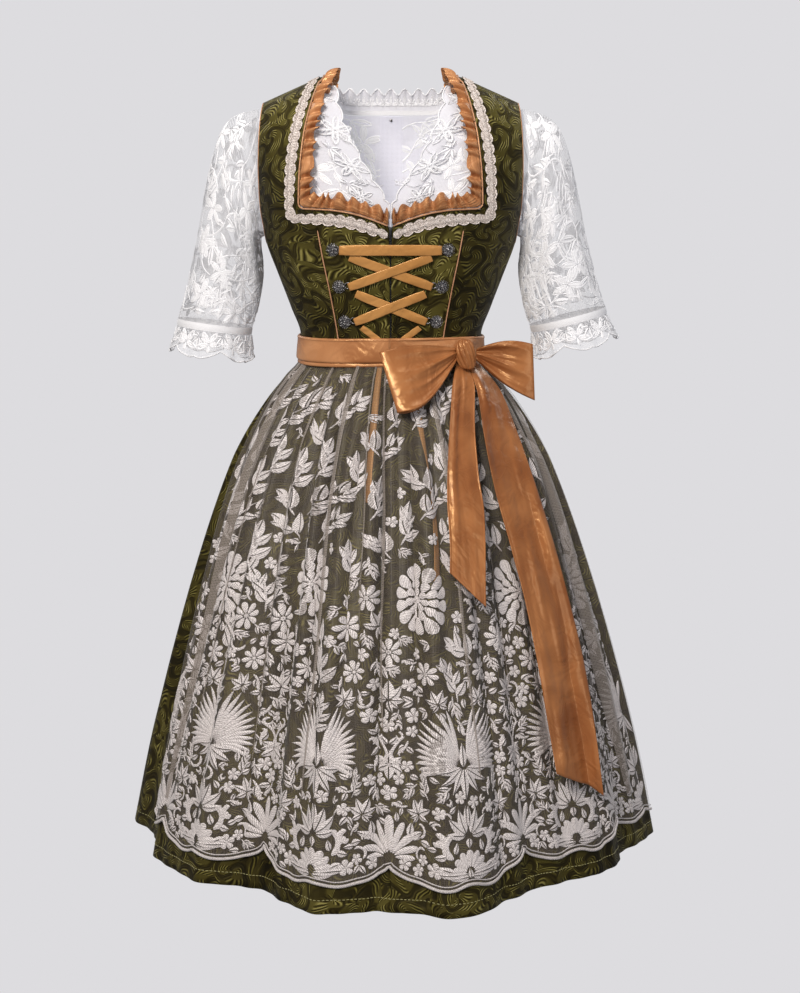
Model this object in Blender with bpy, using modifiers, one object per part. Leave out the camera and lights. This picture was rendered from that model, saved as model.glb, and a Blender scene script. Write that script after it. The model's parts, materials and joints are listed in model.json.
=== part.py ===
"""Dirndl dress: bodice and gathered skirt, lace apron with a bow, and a lace blouse, worn and hollow.

Metres, +Z up. The origin is the middle of the shoulder line, where the wearer holds the dress up.
The front faces -Y and +X is the wearer's left, the side with the bow. Angles round the body are in
degrees from the front centre, positive towards +X.
"""
import math

import bpy
import numpy as np
from mathutils import Matrix

# ---- driving dimensions ------------------------------------------------------------------------
WAIST_DROP = 0.3680          # shoulder line to the waist seam
SEAM = 0.0003                # space left between two pieces that are sewn together
LACE_WALL = 0.0010           # net and lace
BODICE_WALL = 0.0020         # jacquard on its backing
SKIRT_WALL = 0.0014
SATIN_WALL = 0.0010
BLOUSE_LIFT = -0.0023        # inner face of the blouse, measured out from the figure
BODICE_LIFT = 0.0020         # inner face of the bodice
BODICE_FACE = BODICE_LIFT + BODICE_WALL
TRIM_LIFT = BODICE_FACE + 0.0004
SECTION_POWER = 2.5          # squareness of a horizontal section of the body
SHOULDER_SLOPE = 0.44        # fall of the shoulder for each metre outwards
SHOULDER_START = 0.095       # half width of the neck, where that slope begins
SLOPE_FADE = 0.20            # drop below which the slope has died out

# ---- the general figure that the cloth is cut for ----------------------------------------------
#          drop   half_width  front   back
FIGURE = ((0.000, 0.1880, 0.0000, 0.0000),
          (0.004, 0.1885, 0.0270, 0.0300),
          (0.012, 0.1890, 0.0440, 0.0490),
          (0.040, 0.1900, 0.0720, 0.0800),
          (0.090, 0.1900, 0.0970, 0.0980),
          (0.140, 0.1860, 0.1080, 0.1030),
          (0.180, 0.1795, 0.1130, 0.1020),
          (0.222, 0.1690, 0.1110, 0.0985),
          (0.265, 0.1530, 0.1040, 0.0945),
          (0.310, 0.1360, 0.0960, 0.0908),
          (0.350, 0.1225, 0.0905, 0.0892),
          (0.400, 0.1215, 0.0895, 0.0890))

# ---- edges of the bodice ------------------------------------------------------------------------
#          drop   half_width
PRINCESS = ((0.1780, 0.1000),
            (0.2000, 0.0970),
            (0.2400, 0.0900),
            (0.2850, 0.0810),
            (0.3500, 0.0700),
            (0.4000, 0.0650))
#           drop   armhole  neckline   half widths
EDGES = ((0.0000, 0.1740, 0.0890),
         (0.0260, 0.1755, 0.1010),
         (0.0700, 0.1770, 0.1125),
         (0.1100, 0.1775, 0.1175),
         (0.1400, 0.1770, 0.1195),
         (0.1740, 0.1755, 0.1200),
         (0.2000, 0.1715, 0.1190),
         (0.2220, 0.1690, 0.1190))
UNDERARM = 0.222             # drop of the armhole's lowest point
#              half_width  drop of the neckline's lower edge
SWEETHEART = ((0.0000, 0.1990),
              (0.0100, 0.1950),
              (0.0360, 0.1855),
              (0.0700, 0.1780),
              (0.1190, 0.1745))
BACK_NECK_DROP = 0.150
BACK_NECK_HALF = 0.118

# ---- skirt -------------------------------------------------------------------------------------
SKIRT_COLUMNS = 112          # two for each gather
#         height   half_width  half_depth  gather   fold
SKIRT = ((-0.3684, 0.1255, 0.0925, 0.0011, 0.00),
         (-0.3872, 0.1278, 0.0948, 0.0013, 0.00),
         (-0.4080, 0.1445, 0.1115, 0.0028, 0.00),
         (-0.4420, 0.1680, 0.1335, 0.0034, 0.05),
         (-0.5000, 0.1970, 0.1625, 0.0028, 0.18),
         (-0.5900, 0.2290, 0.2010, 0.0018, 0.34),
         (-0.7000, 0.2585, 0.2400, 0.0010, 0.56),
         (-0.8200, 0.2885, 0.2765, 0.0004, 0.74),
         (-0.9400, 0.3150, 0.3100, 0.0000, 0.89),
         (-1.0650, 0.3380, 0.3370, 0.0000, 1.00))
#         angle   outward at the hem  spread
FOLDS = ((-176.0, 0.020, 10.0),
         (-147.0, 0.026, 9.0),
         (-120.0, 0.018, 8.0),
         (-94.0, 0.040, 9.0),
         (-64.0, 0.020, 9.0),
         (-49.0, 0.016, 6.0),
         (-33.0, -0.020, 7.0),
         (-14.0, 0.028, 8.0),
         (0.0, 0.006, 4.0),
         (14.0, 0.042, 9.0),
         (37.0, -0.010, 7.0),
         (58.0, 0.018, 8.0),
         (84.0, 0.040, 11.0),
         (112.0, 0.014, 8.0),
         (134.0, 0.027, 9.0),
         (158.0, 0.020, 7.0))

# ---- apron -------------------------------------------------------------------------------------
APRON_GAP = 0.0030           # room between the skirt and the apron, where the lacing hangs
APRON_FROM, APRON_TO = -25, 26   # skirt columns that it covers, counted from the front centre
APRON_HEM = -1.035
SCALLOP_PITCH = 3600.0 / SKIRT_COLUMNS   # degrees from notch to notch, ten columns
SCALLOP_DEPTH = 0.027
BELT_TOP, BELT_BOTTOM = -0.3510, -0.3874
#        height       lift from the figure
BELT = ((BELT_TOP, 0.0071),
        (-0.3600, 0.0073),
        (BELT_BOTTOM, 0.0092))

# ---- sleeve, below the ring that is sewn into the armhole ---------------------------------------
#          outer_x  outer_z  inner_x  inner_z  half_depth
SLEEVE = ((0.2040, -0.0450, 0.1802, -0.2160, 0.0430),
          (0.2240, -0.0570, 0.1804, -0.2195, 0.0490),
          (0.2400, -0.0830, 0.1806, -0.2250, 0.0520),
          (0.2520, -0.1230, 0.1806, -0.2330, 0.0530),
          (0.2620, -0.1700, 0.1800, -0.2450, 0.0530),
          (0.2710, -0.2150, 0.1800, -0.2620, 0.0530),
          (0.2820, -0.2600, 0.1815, -0.2850, 0.0535),
          (0.2920, -0.3000, 0.1860, -0.3120, 0.0545),
          (0.2990, -0.3260, 0.1950, -0.3400, 0.0550))
CUFF_BAND = 0.0100
BAND_WALL = 0.0014
CUFF_LACE = 0.0330
CUFF_WAVES, CUFF_WAVE = 5, 0.0050    # scallops round the cuff's lace and half their height
CUFF_RISE = {"left": 0.000, "right": 0.016}   # the sleeve on the bow's side is pushed up a little

COLOURS = {                  # colour, roughness, metallic
    "olive_jacquard": ((0.060, 0.060, 0.018), 0.50, 0.0),
    "copper_satin": ((0.480, 0.185, 0.062), 0.32, 0.0),
    "caramel_ribbon": ((0.540, 0.255, 0.090), 0.35, 0.0),
    "ivory_braid": ((0.680, 0.630, 0.560), 0.80, 0.0),
    "mauve_tulle": ((0.400, 0.345, 0.335), 0.70, 0.0),
    "white_lace": ((0.820, 0.820, 0.840), 0.75, 0.0),
    "aged_silver": ((0.160, 0.150, 0.150), 0.40, 0.9),
    "black_zip": ((0.015, 0.015, 0.018), 0.50, 0.0),
}


# ---- scene and materials -----------------------------------------------------------------------
for old in list(bpy.data.objects):
    bpy.data.objects.remove(old, do_unlink=True)
dirndl = bpy.data.collections.new("dirndl_dress")
bpy.context.scene.collection.children.link(dirndl)


def material(piece, finish):
    """A Principled material of one piece's own, from the finish's row in COLOURS."""
    colour, roughness, metallic = COLOURS[finish]
    made = bpy.data.materials.new(f"{piece}_{finish}")
    made.use_nodes = True
    shader = made.node_tree.nodes["Principled BSDF"]
    shader.inputs["Base Color"].default_value = (*colour, 1.0)
    shader.inputs["Roughness"].default_value = roughness
    shader.inputs["Metallic"].default_value = metallic
    return made


def add_object(name, data, finish):
    """A named object in the dress's collection, with its material."""
    piece = bpy.data.objects.new(name, data)
    dirndl.objects.link(piece)
    data.materials.append(material(name, finish))
    return piece


def cloth(name, points, wall, finish, closed=False, outwards=True):
    """A cloth wall on a grid of points, rows downwards and columns towards +X seen from the front.

    The grid is the wall's inner face and Solidify adds the wall outwards, or the other way round
    where outwards is false. A closed grid runs round to its first column.
    """
    rows, columns = points.shape[:2]
    steps = columns if closed else columns - 1
    faces = [(i * columns + j, (i + 1) * columns + j,
              (i + 1) * columns + (j + 1) % columns, i * columns + (j + 1) % columns)
             for i in range(rows - 1) for j in range(steps)]
    mesh = bpy.data.meshes.new(name)
    mesh.from_pydata(points.reshape(-1, 3).tolist(), [], faces)
    mesh.shade_smooth()
    piece = add_object(name, mesh, finish)
    solid = piece.modifiers.new("wall", "SOLIDIFY")
    solid.thickness = wall
    solid.offset = 1.0 if outwards else -1.0
    return piece


def adopt(name, finish):
    """The object just added by an operator, named, moved to the dress's collection and coloured."""
    piece = bpy.context.object
    piece.name = name
    for owner in list(piece.users_collection):
        owner.objects.unlink(piece)
    dirndl.objects.link(piece)
    piece.data.materials.append(material(name, finish))
    return piece


# ---- tables to smooth curves -------------------------------------------------------------------
MIRROR = np.array((-1.0, 1.0, 1.0))


def smooth(table, column, at):
    """A table's column read at any place of its first one, along a curve that never overshoots."""
    rows = np.array(table)
    x, y = rows[:, 0], rows[:, column]
    at = np.clip(at, x[0], x[-1])
    width = np.diff(x)
    secant = np.diff(y) / width
    product = secant[:-1] * secant[1:]
    total = np.where(np.abs(secant[:-1] + secant[1:]) < 1e-12, 1.0, secant[:-1] + secant[1:])
    inner = np.where(product > 0.0, 2.0 * product / total, 0.0)
    slope = np.concatenate(([secant[0]], inner, [secant[-1]]))
    k = np.clip(np.searchsorted(x, at, side="right") - 1, 0, len(width) - 1)
    t = (at - x[k]) / width[k]
    return (y[k] * (1 + 2 * t) * (1 - t) ** 2 + slope[k] * width[k] * t * (1 - t) ** 2
            + y[k + 1] * t * t * (3 - 2 * t) + slope[k + 1] * width[k] * t * t * (t - 1))


def unit(vectors):
    """The vectors at length 1."""
    return vectors / np.linalg.norm(vectors, axis=-1, keepdims=True)


# ---- the figure's surface ----------------------------------------------------------------------
def figure(angle, drop, lift):
    """Points at angles (degrees) and drops below the shoulder line, moved out by lift.

    A section is |x/a|^n + |y/b|^n = 1, with a and b from FIGURE, and the shoulders slope down
    outside the neck. The way out is the gradient of that equation.
    """
    angle, drop = np.broadcast_arrays(np.radians(angle), np.maximum(drop, 1e-5))
    sine, cosine = np.sin(angle), np.cos(angle)
    depth_column = np.where(cosine >= 0.0, 2, 3)

    def sizes(at):
        root = np.sqrt(np.maximum(at, 0.0))
        table = [(math.sqrt(row[0]), *row[1:]) for row in FIGURE]
        half_width = smooth(table, 1, root)
        front, back = smooth(table, 2, root), smooth(table, 3, root)
        return half_width, np.where(depth_column == 2, front, back)

    a, b = sizes(drop)
    step = np.minimum(1e-4, 0.5 * drop)
    a_more, b_more = sizes(drop + step)
    a_less, b_less = sizes(drop - step)
    power = SECTION_POWER
    x = a * np.sign(sine) * np.abs(sine) ** (2.0 / power)
    y = -b * np.sign(cosine) * np.abs(cosine) ** (2.0 / power)
    across = (np.abs(x) / a) ** power
    deep = (np.abs(y) / b) ** power
    beyond = np.maximum(np.abs(x) - SHOULDER_START, 0.0)
    fade = np.clip(1.0 - drop / SLOPE_FADE, 0.0, 1.0) ** 2
    z = -drop - SHOULDER_SLOPE * beyond * fade
    tilt = np.where(beyond > 0.0, SHOULDER_SLOPE * fade, 0.0) * np.sign(x)
    up = (across * (a_more - a_less) / a + deep * (b_more - b_less) / b) / (2.0 * step)
    out_x = np.sign(x) * (np.abs(x) / a) ** (power - 1.0) / a
    out_y = np.sign(y) * (np.abs(y) / b) ** (power - 1.0) / b
    way = unit(np.stack((out_x + up * tilt, out_y, up), axis=-1))
    return np.stack((x, y, z), axis=-1) + way * np.broadcast_to(lift, x.shape)[..., None]


def angle_of(half_width, drop, front=True):
    """The angle (degrees) at which the figure is half_width wide, on its front or its back."""
    a = smooth([(math.sqrt(row[0]), row[1]) for row in FIGURE], 1, np.sqrt(np.maximum(drop, 0.0)))
    share = np.clip(half_width / a, 0.0, 1.0) ** (SECTION_POWER / 2.0)
    angle = np.degrees(np.arcsin(share))
    return np.where(front, angle, 180.0 - angle)


def over_shoulder(half_width, travel, lift):
    """Points at a half width, with travel the drop in front (negative) or at the back (positive)."""
    drop = np.abs(travel)
    return figure(angle_of(half_width, drop, travel <= 0.0), drop, lift)


def grid(from_angle, to_angle, drops, columns):
    """Angles and drops for a panel between two edges, which are given as one angle for each row."""
    share = np.linspace(0.0, 1.0, columns)[None, :]
    angles = np.asarray(from_angle)[:, None] * (1.0 - share) + np.asarray(to_angle)[:, None] * share
    return angles, np.broadcast_to(np.asarray(drops)[:, None], angles.shape)


def mirrored(points):
    """The same grid on the other side of the body, with its columns turned to run towards +X."""
    return (points * MIRROR)[:, ::-1]


def both_sides(name, points, wall, finish):
    """One cloth piece at +X and its mirror image at -X, named right and left as they are seen."""
    cloth(f"{name}_right", points, wall, finish)
    cloth(f"{name}_left", mirrored(points), wall, finish)


# ---- bodice ------------------------------------------------------------------------------------
SIDE_DROPS = np.array((0.0, 0.003, 0.012, 0.030, 0.058, 0.092, 0.130, 0.1735, 0.1780, 0.200, 0.222,
                       0.250, 0.285, 0.320, 0.350, WAIST_DROP))


def armhole_angle(drops, front=True):
    """Angle of the armhole's edge at each drop, and of the side seam below the underarm."""
    edge = angle_of(smooth(EDGES, 1, drops), drops, front)
    return np.where(drops >= UNDERARM - 1e-6, 90.0, edge)


def princess_half(drops):
    """Half width of the princess seam at each drop."""
    return smooth(PRINCESS, 1, drops)


def neckline_half(drops):
    """Half width of the neckline's upright edge at each drop."""
    return smooth(EDGES, 2, drops)


def seam_angle(half_width):
    """The angle that a seam's gap covers at this distance from the body's middle."""
    return math.degrees(SEAM / half_width)


def bodice_panels():
    """Centre fronts, side fronts with their straps, and backs with theirs."""
    columns = np.linspace(0.0, 1.0, 7)
    rows = np.linspace(0.0, 1.0, 8)[:, None]
    low = princess_half(np.array((0.178,)))[0]
    half = 0.0012 + (low - 0.0012) * columns
    top = smooth(SWEETHEART, 1, half)
    drops = top[None, :] * (1.0 - rows) + WAIST_DROP * rows
    opening = 0.0011 + 0.0017 * np.clip((0.235 - drops) / 0.035, 0.0, 1.0)
    across = opening + (princess_half(drops) - SEAM - opening) * columns[None, :]
    both_sides("bodice_front", figure(angle_of(across, drops), drops, BODICE_LIFT), BODICE_WALL,
               "olive_jacquard")

    inner = np.where(SIDE_DROPS < 0.1775, neckline_half(SIDE_DROPS), princess_half(SIDE_DROPS))
    outer = armhole_angle(SIDE_DROPS) - seam_angle(0.17)
    angles, drops = grid(angle_of(inner, SIDE_DROPS), outer, SIDE_DROPS, 7)
    both_sides("bodice_side", figure(angles, drops, BODICE_LIFT), BODICE_WALL, "olive_jacquard")

    back_drops = np.unique(np.concatenate((SIDE_DROPS[:7], (0.148, BACK_NECK_DROP, 0.172, 0.200, 0.222,
                                                            0.250, 0.285, 0.320, 0.350, WAIST_DROP))))
    inner = back_neck_half(back_drops)
    outer = armhole_angle(back_drops, front=False) + seam_angle(0.17)
    angles, drops = grid(outer, angle_of(inner, back_drops, front=False), back_drops, 7)
    both_sides("bodice_back", figure(angles, drops, BODICE_LIFT), BODICE_WALL, "olive_jacquard")


def back_neck_half(drops):
    """Half width of the back neckline, a rounded U, and of the seam's gap below it."""
    share = np.clip(drops / BACK_NECK_DROP, 0.0, 1.0)
    curve = 0.0890 + (BACK_NECK_HALF - 0.0890) * np.minimum(share * 2.2, 1.0)
    curve = curve * (1.0 - share ** 7) ** 0.5
    return np.maximum(np.where(drops >= BACK_NECK_DROP, 0.0, curve), 0.5 * SEAM)


# ---- trims that follow the neckline ------------------------------------------------------------
def neckline_route(inset):
    """The neckline from the front notch over the shoulder to the back middle, moved out by inset.

    Given as half widths and travels, which over_shoulder reads. Outwards is away from the bare
    neck, so a negative inset lies inside the opening.
    """
    bottom_half = np.array((0.0030, 0.0180, 0.0360, 0.0550, 0.0760, 0.0980, 0.1130))
    bottom_drop = smooth(SWEETHEART, 1, bottom_half) + inset
    bottom_half = bottom_half + inset * np.array((0.05, 0.05, 0.05, 0.1, 0.25, 0.6, 0.9))
    side_drop = np.array((0.168, 0.150, 0.125, 0.100, 0.074, 0.048, 0.026, 0.011, 0.003))
    side_half = neckline_half(side_drop) + inset
    side_drop = side_drop + inset * np.array((0.7, 0.3, 0.0, 0.0, 0.0, 0.0, 0.0, 0.0, 0.0))
    back_drop = np.array((0.003, 0.011, 0.028, 0.052, 0.078, 0.104, 0.126, 0.141, 0.148, 0.150))
    back_half = back_neck_half(np.minimum(back_drop, 0.1497))
    back_half[-1] = 0.0015
    ease = np.array((1.0, 1.0, 1.0, 1.0, 1.0, 0.95, 0.75, 0.45, 0.12, 0.0))
    fall = np.array((0.0, 0.0, 0.0, 0.0, 0.1, 0.3, 0.65, 0.9, 1.0, 1.0))
    half = np.concatenate((bottom_half, side_half, back_half + inset * ease))
    return half, np.concatenate((-bottom_drop, -side_drop, back_drop + inset * fall))


def even_steps(half, travel, spacing):
    """Places along the route, as fractions of its points, at even steps of about this length."""
    index = np.arange(len(half))
    fine = np.linspace(0.0, index[-1], 60 * len(index))
    places = over_shoulder(np.interp(fine, index, half), np.interp(fine, index, travel), BODICE_FACE)
    run = np.concatenate(([0.0], np.cumsum(np.linalg.norm(np.diff(places, axis=0), axis=1))))
    steps = 2 * max(2, round(run[-1] / spacing / 2.0))
    return np.interp(np.linspace(0.0, run[-1], steps + 1), run, fine)


def route_points(inset, at, lift):
    """Points of the neckline's route at these places."""
    half, travel = neckline_route(inset)
    index = np.arange(len(half))
    return over_shoulder(np.interp(at, index, half), np.interp(at, index, travel), lift)


def neck_strip(name, near, far, spacing, near_lift, far_lift, wave, wall, finish):
    """A strip along the neckline between two insets, its far edge in waves of two steps each."""
    at = even_steps(*neckline_route((near + far) / 2.0), spacing)
    rise = far_lift + wave * np.where(np.arange(len(at)) % 2 == 0, -1.0, 1.0)
    near_edge = route_points(near, at, near_lift)
    far_edge = route_points(far, at, rise)
    upper, lower = (far_edge, near_edge) if far < near else (near_edge, far_edge)
    both_sides(name, np.stack((upper, lower)), wall, finish)


def tube(name, points, radius, finish):
    """A piping cord through the points."""
    curve = bpy.data.curves.new(name, "CURVE")
    curve.dimensions = "3D"
    curve.bevel_depth = radius
    curve.bevel_resolution = 1
    curve.use_fill_caps = True
    line = curve.splines.new("POLY")
    line.points.add(len(points) - 1)
    for point, place in zip(line.points, points):
        point.co = (*place, 1.0)
    return add_object(name, curve, finish)


def pipings():
    """Satin piping on the neckline's edge and on the princess seams."""
    radius = 0.0011
    at = even_steps(*neckline_route(0.0), PIPING_STEP)
    neck = route_points(0.0012, at, BODICE_FACE + radius + 0.0008)
    seam_drops = np.linspace(0.2045, -BELT_TOP - 0.002, 8)
    seam = figure(angle_of(princess_half(seam_drops) - 0.0002, seam_drops), seam_drops,
                  BODICE_FACE + radius + 0.0004)
    for side, turn in (("right", 1.0), ("left", MIRROR)):
        tube(f"neck_piping_{side}", neck * turn, radius, "copper_satin")
        tube(f"princess_piping_{side}", seam * turn, radius, "copper_satin")


# ---- closure and lacing ------------------------------------------------------------------------
#        half_width  drop
HOOKS = ((0.0765, 0.2300),
         (0.0685, 0.2790),
         (0.0610, 0.3265))
HOOK_RADIUS = 0.0100
EYE_RADIUS = 0.0048
EYE_REACH = 0.0125           # from the hook's middle to its eye's middle
RIBBON = 0.0135
LACING_END_WIDTH = 0.0100
PIPING_STEP = 0.020
SLIDER_SIZE = np.array((0.0044, 0.0030, 0.0095))
SLIDER_TAPER = 0.45          # its width at the foot as a share of that at the top


def front_zip():
    """The zip's tape behind the centre-front opening, and its slider at the top."""
    drops = np.linspace(0.2005, WAIST_DROP - 0.001, 8)
    halves = np.array((-0.009, 0.0, 0.009))
    angles = np.sign(halves) * angle_of(np.abs(halves)[None, :], drops[:, None])
    points = figure(angles, drops[:, None] + 0.0 * halves, BODICE_LIFT - 0.0014)
    cloth("front_zip", points, 0.0010, "black_zip")
    bpy.ops.mesh.primitive_cube_add(size=1.0)
    slider = adopt("zip_slider", "black_zip")
    for corner in slider.data.vertices:
        taper = 1.0 if corner.co.z > 0.0 else SLIDER_TAPER
        corner.co = SLIDER_SIZE * corner.co * np.array((taper, 1.0, 1.0))
    slider.location = figure(0.0, 0.2060, BODICE_LIFT + 0.0016)


def hook_outline():
    """A filigree rosette with eight lobes and an eye at its +X side, as one outline and one hole."""
    lobes = [(HOOK_RADIUS * (1.0 if k % 2 == 0 else 0.84), math.radians(22.5 * k + 22.5))
             for k in range(16)]
    rosette = [(r * math.cos(a), r * math.sin(a)) for r, a in lobes if abs(math.atan2(
        math.sin(a), math.cos(a))) > math.radians(24.0)]
    outer = [(EYE_REACH + EYE_RADIUS * math.cos(a), EYE_RADIUS * math.sin(a))
             for a in np.radians((-125.0, -75.0, -25.0, 25.0, 75.0, 125.0))]
    hole = [(EYE_REACH + 0.62 * EYE_RADIUS * math.cos(a), 0.62 * EYE_RADIUS * math.sin(a))
            for a in np.radians(np.arange(0.0, 360.0, 60.0))]
    return rosette + outer, hole


def lacing_hooks():
    """Three hooks on each side, flat on the centre-front panels with their eyes towards the middle."""
    outline, hole = hook_outline()
    for row, (half_width, drop) in enumerate(HOOKS, start=1):
        for side, sign in (("right", 1.0), ("left", -1.0)):
            name = f"lacing_hook_{side}_{row}"
            curve = bpy.data.curves.new(name, "CURVE")
            curve.dimensions = "2D"
            curve.fill_mode = "BOTH"
            curve.extrude = 0.0008
            for ring in (outline, hole):
                line = curve.splines.new("POLY")
                line.points.add(len(ring) - 1)
                line.use_cyclic_u = True
                for point, (x, y) in zip(line.points, ring):
                    point.co = (x, y, 0.0, 1.0)
            hook = add_object(name, curve, "aged_silver")
            angle = float(angle_of(np.array(half_width), np.array(drop))) * sign
            base = figure(angle, drop, BODICE_FACE)
            way = unit(figure(angle, drop, BODICE_FACE + 0.01) - base)
            place = base + way * 0.0014
            down = unit(figure(angle, drop + 0.01, BODICE_FACE) - base)
            inwards = unit(np.cross(way, down))
            if inwards[0] * sign > 0.0:
                inwards = -inwards
            upright = np.cross(way, inwards)
            axes = np.stack((inwards, upright, way, place), axis=1)
            hook.matrix_world = Matrix((*axes.tolist(), (0.0, 0.0, 0.0, 1.0)))


def eye_place(side, row, lift, inset=0.0):
    """The middle of a hook's eye, as a half width with its sign, and a drop."""
    half_width, drop = HOOKS[row - 1]
    return side * (half_width - EYE_REACH - inset), drop, lift


def ribbon_between(name, start, end, width, wall, steps=6):
    """A flat ribbon over the bodice between two places (signed half width, drop, lift)."""
    share = np.linspace(0.0, 1.0, steps + 1)
    half = start[0] + (end[0] - start[0]) * share
    drop = start[1] + (end[1] - start[1]) * share
    lift = start[2] + (end[2] - start[2]) * share
    run = unit(np.array((end[0] - start[0], end[1] - start[1])))
    side = np.array((-run[1], run[0])) * width / 2.0
    edges = []
    for sign in (-1.0, 1.0):
        x, y = half + sign * side[0], drop + sign * side[1]
        edges.append(figure(np.sign(x) * angle_of(np.abs(x), y), y, lift))
    first, second = edges
    if run[0] < 0.0:
        first, second = first[::-1], second[::-1]
    if first[:, 2].mean() < second[:, 2].mean():
        first, second = second, first
    cloth(name, np.stack((first, second)), wall, "caramel_ribbon")


LOW, HIGH = TRIM_LIFT + 0.0030, TRIM_LIFT + 0.0044   # lifts of the under and the over ribbon
TOP_LIFT = TRIM_LIFT + 0.0057


def lacing():
    """The ribbon: a bar between the top hooks and two crossings below it, then under the belt."""
    wall = 0.0008
    ribbon_between("lacing_bar", eye_place(-1, 1, TOP_LIFT, -0.003), eye_place(1, 1, TOP_LIFT, -0.003),
                   RIBBON, wall)
    for cross in (1, 2):
        reach = 0.010
        left, right = eye_place(-1, cross, LOW, reach), eye_place(1, cross + 1, LOW, 0.001)
        start = (left[0], left[1] + 0.009, LOW)
        ribbon_between(f"lacing_under_{cross}", start, right, RIBBON * 0.92, wall)
        right, left = eye_place(1, cross, HIGH, reach), eye_place(-1, cross + 1, HIGH, 0.001)
        start = (right[0], right[1] + 0.009, HIGH)
        ribbon_between(f"lacing_over_{cross}", start, left, RIBBON * 0.92, wall)
    for side, sign in (("left", -1), ("right", 1)):
        start = eye_place(sign, 3, LOW if sign < 0 else HIGH, 0.010)
        start = (start[0], start[1] + 0.0075, start[2])
        end = (sign * 0.0130, -BELT_TOP + 0.0040, TRIM_LIFT)
        ribbon_between(f"lacing_tuck_{side}", start, end, 0.0085, wall, 3)


# ---- skirt -------------------------------------------------------------------------------------
SKIRT_HEIGHTS = np.array([row[0] for row in SKIRT])


def skirt_radii(column, heights, gathers=True):
    """Half widths and depths of the skirt at column numbers (0 is the front centre) and heights."""
    angle = np.asarray(column) * 360.0 / SKIRT_COLUMNS
    table = [(-row[0], *row[1:]) for row in SKIRT]
    a, b, gather, fold = (smooth(table, k, -np.asarray(heights)) for k in (1, 2, 3, 4))
    bulge = 0.0
    for middle, outward, spread in FOLDS:
        away = (angle - middle + 180.0) % 360.0 - 180.0
        bulge = bulge + outward * np.exp(-(away / spread) ** 2)
    extra = fold * bulge
    if gathers:
        extra = extra + gather * np.where(np.asarray(column) % 2 == 0, 1.0, -1.0)
    return a + extra, b + extra


def skirt_ring(columns, heights):
    """Points on the skirt's inner face at whole columns, one row for each height of SKIRT."""
    column, height = np.broadcast_arrays(np.asarray(columns)[None, :], np.asarray(heights)[:, None])
    angle = np.radians(column * 360.0 / SKIRT_COLUMNS)
    a, b = skirt_radii(column, height)
    return np.stack((a * np.sin(angle), -b * np.cos(angle), height), axis=-1)


def skirt_place(column, height, lift):
    """Points moved out from the skirt, read straight between its own columns and rows."""
    column, height = np.broadcast_arrays(np.asarray(column, float), np.asarray(height, float))
    every = np.arange(-SKIRT_COLUMNS // 2 - 1, SKIRT_COLUMNS // 2 + 2)
    ring = skirt_ring(every, SKIRT_HEIGHTS)
    along = np.roll(ring, -1, axis=1) - np.roll(ring, 1, axis=1)
    down = np.gradient(ring, axis=0)
    way = unit(np.cross(down, along))
    lifted = ring + way * lift
    at_row = np.interp(-height, -SKIRT_HEIGHTS, np.arange(len(SKIRT_HEIGHTS)))
    at_column = column - every[0]
    i, j = np.minimum(at_row.astype(int), len(SKIRT) - 2), at_column.astype(int)
    u, v = (at_row - i)[..., None], (at_column - j)[..., None]
    return ((lifted[i, j] * (1 - v) + lifted[i, j + 1] * v) * (1 - u)
            + (lifted[i + 1, j] * (1 - v) + lifted[i + 1, j + 1] * v) * u)


def skirt_panels():
    """Four gathered panels, with seams at the front, the sides and the back."""
    quarter = SKIRT_COLUMNS // 4
    for name, start in (("skirt_front_right", 0), ("skirt_back_right", quarter),
                        ("skirt_back_left", -2 * quarter), ("skirt_front_left", -quarter)):
        columns = np.arange(start, start + quarter + 1)
        points = skirt_ring(columns, SKIRT_HEIGHTS)
        for edge, nearest in ((0, 1), (-1, -2)):
            along = unit(points[:, nearest] - points[:, edge])
            points[:, edge] += along * 0.0010
        cloth(name, points, SKIRT_WALL, "olive_jacquard")


#               side   column  foot
LACING_ENDS = (("left", -2, -0.560),
               ("right", 4, -0.660))


def lacing_ends():
    """The ribbon's two free ends, which come out under the belt and hang down the skirt's front."""
    for side, column, foot in LACING_ENDS:
        between = SKIRT_HEIGHTS[(SKIRT_HEIGHTS < BELT_BOTTOM) & (SKIRT_HEIGHTS > foot)]
        heights = np.concatenate(([BELT_BOTTOM - 0.0030], between, [foot]))
        step = skirt_radii(0.0, heights, False)[0] * 2.0 * math.pi / SKIRT_COLUMNS
        spread = np.minimum(0.5 * LACING_END_WIDTH / step, 1.0)
        columns = column + spread[:, None] * np.array((-1.0, 0.0, 1.0))
        points = skirt_place(columns, heights[:, None], SKIRT_WALL + 0.0007)
        cloth(f"lacing_end_{side}", points, 0.0008, "caramel_ribbon")


# ---- apron -------------------------------------------------------------------------------------
def scallop(angle):
    """Rise of the apron's edge above its lowest line: a notch each pitch and a small one between."""
    phase = (angle / SCALLOP_PITCH) % 1.0
    big = (1.0 - np.abs(np.sin(math.pi * phase)) ** 0.55) * SCALLOP_DEPTH
    small = 0.008 * np.exp(-((phase - 0.5) / 0.09) ** 2)
    return big + small


def apron_lace():
    """The apron's net, made from the skirt's points moved out, with a scalloped hem."""
    columns = np.arange(APRON_FROM, APRON_TO + 1)
    upper = SKIRT_HEIGHTS[2:-1]
    edge = APRON_HEM + scallop(columns * 360.0 / SKIRT_COLUMNS)
    heights = np.concatenate((np.full((1, len(columns)), BELT_BOTTOM - 0.0030),
                              np.repeat(upper[:, None], len(columns), axis=1), edge[None, :]))
    points = skirt_place(columns[None, :] + 0.0 * heights, heights, SKIRT_WALL + APRON_GAP)
    cloth("apron_lace", points, LACE_WALL, "mauve_tulle")


def belt_ring(rows, columns=36):
    """Closed rings round the waist, clear of the bodice, its lacing and the skirt's gathers."""
    angle = np.arange(columns) * 360.0 / columns
    heights, lifts = np.array(rows).T[:, :, None]
    return figure(angle[None, :], -heights, lifts)


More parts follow.
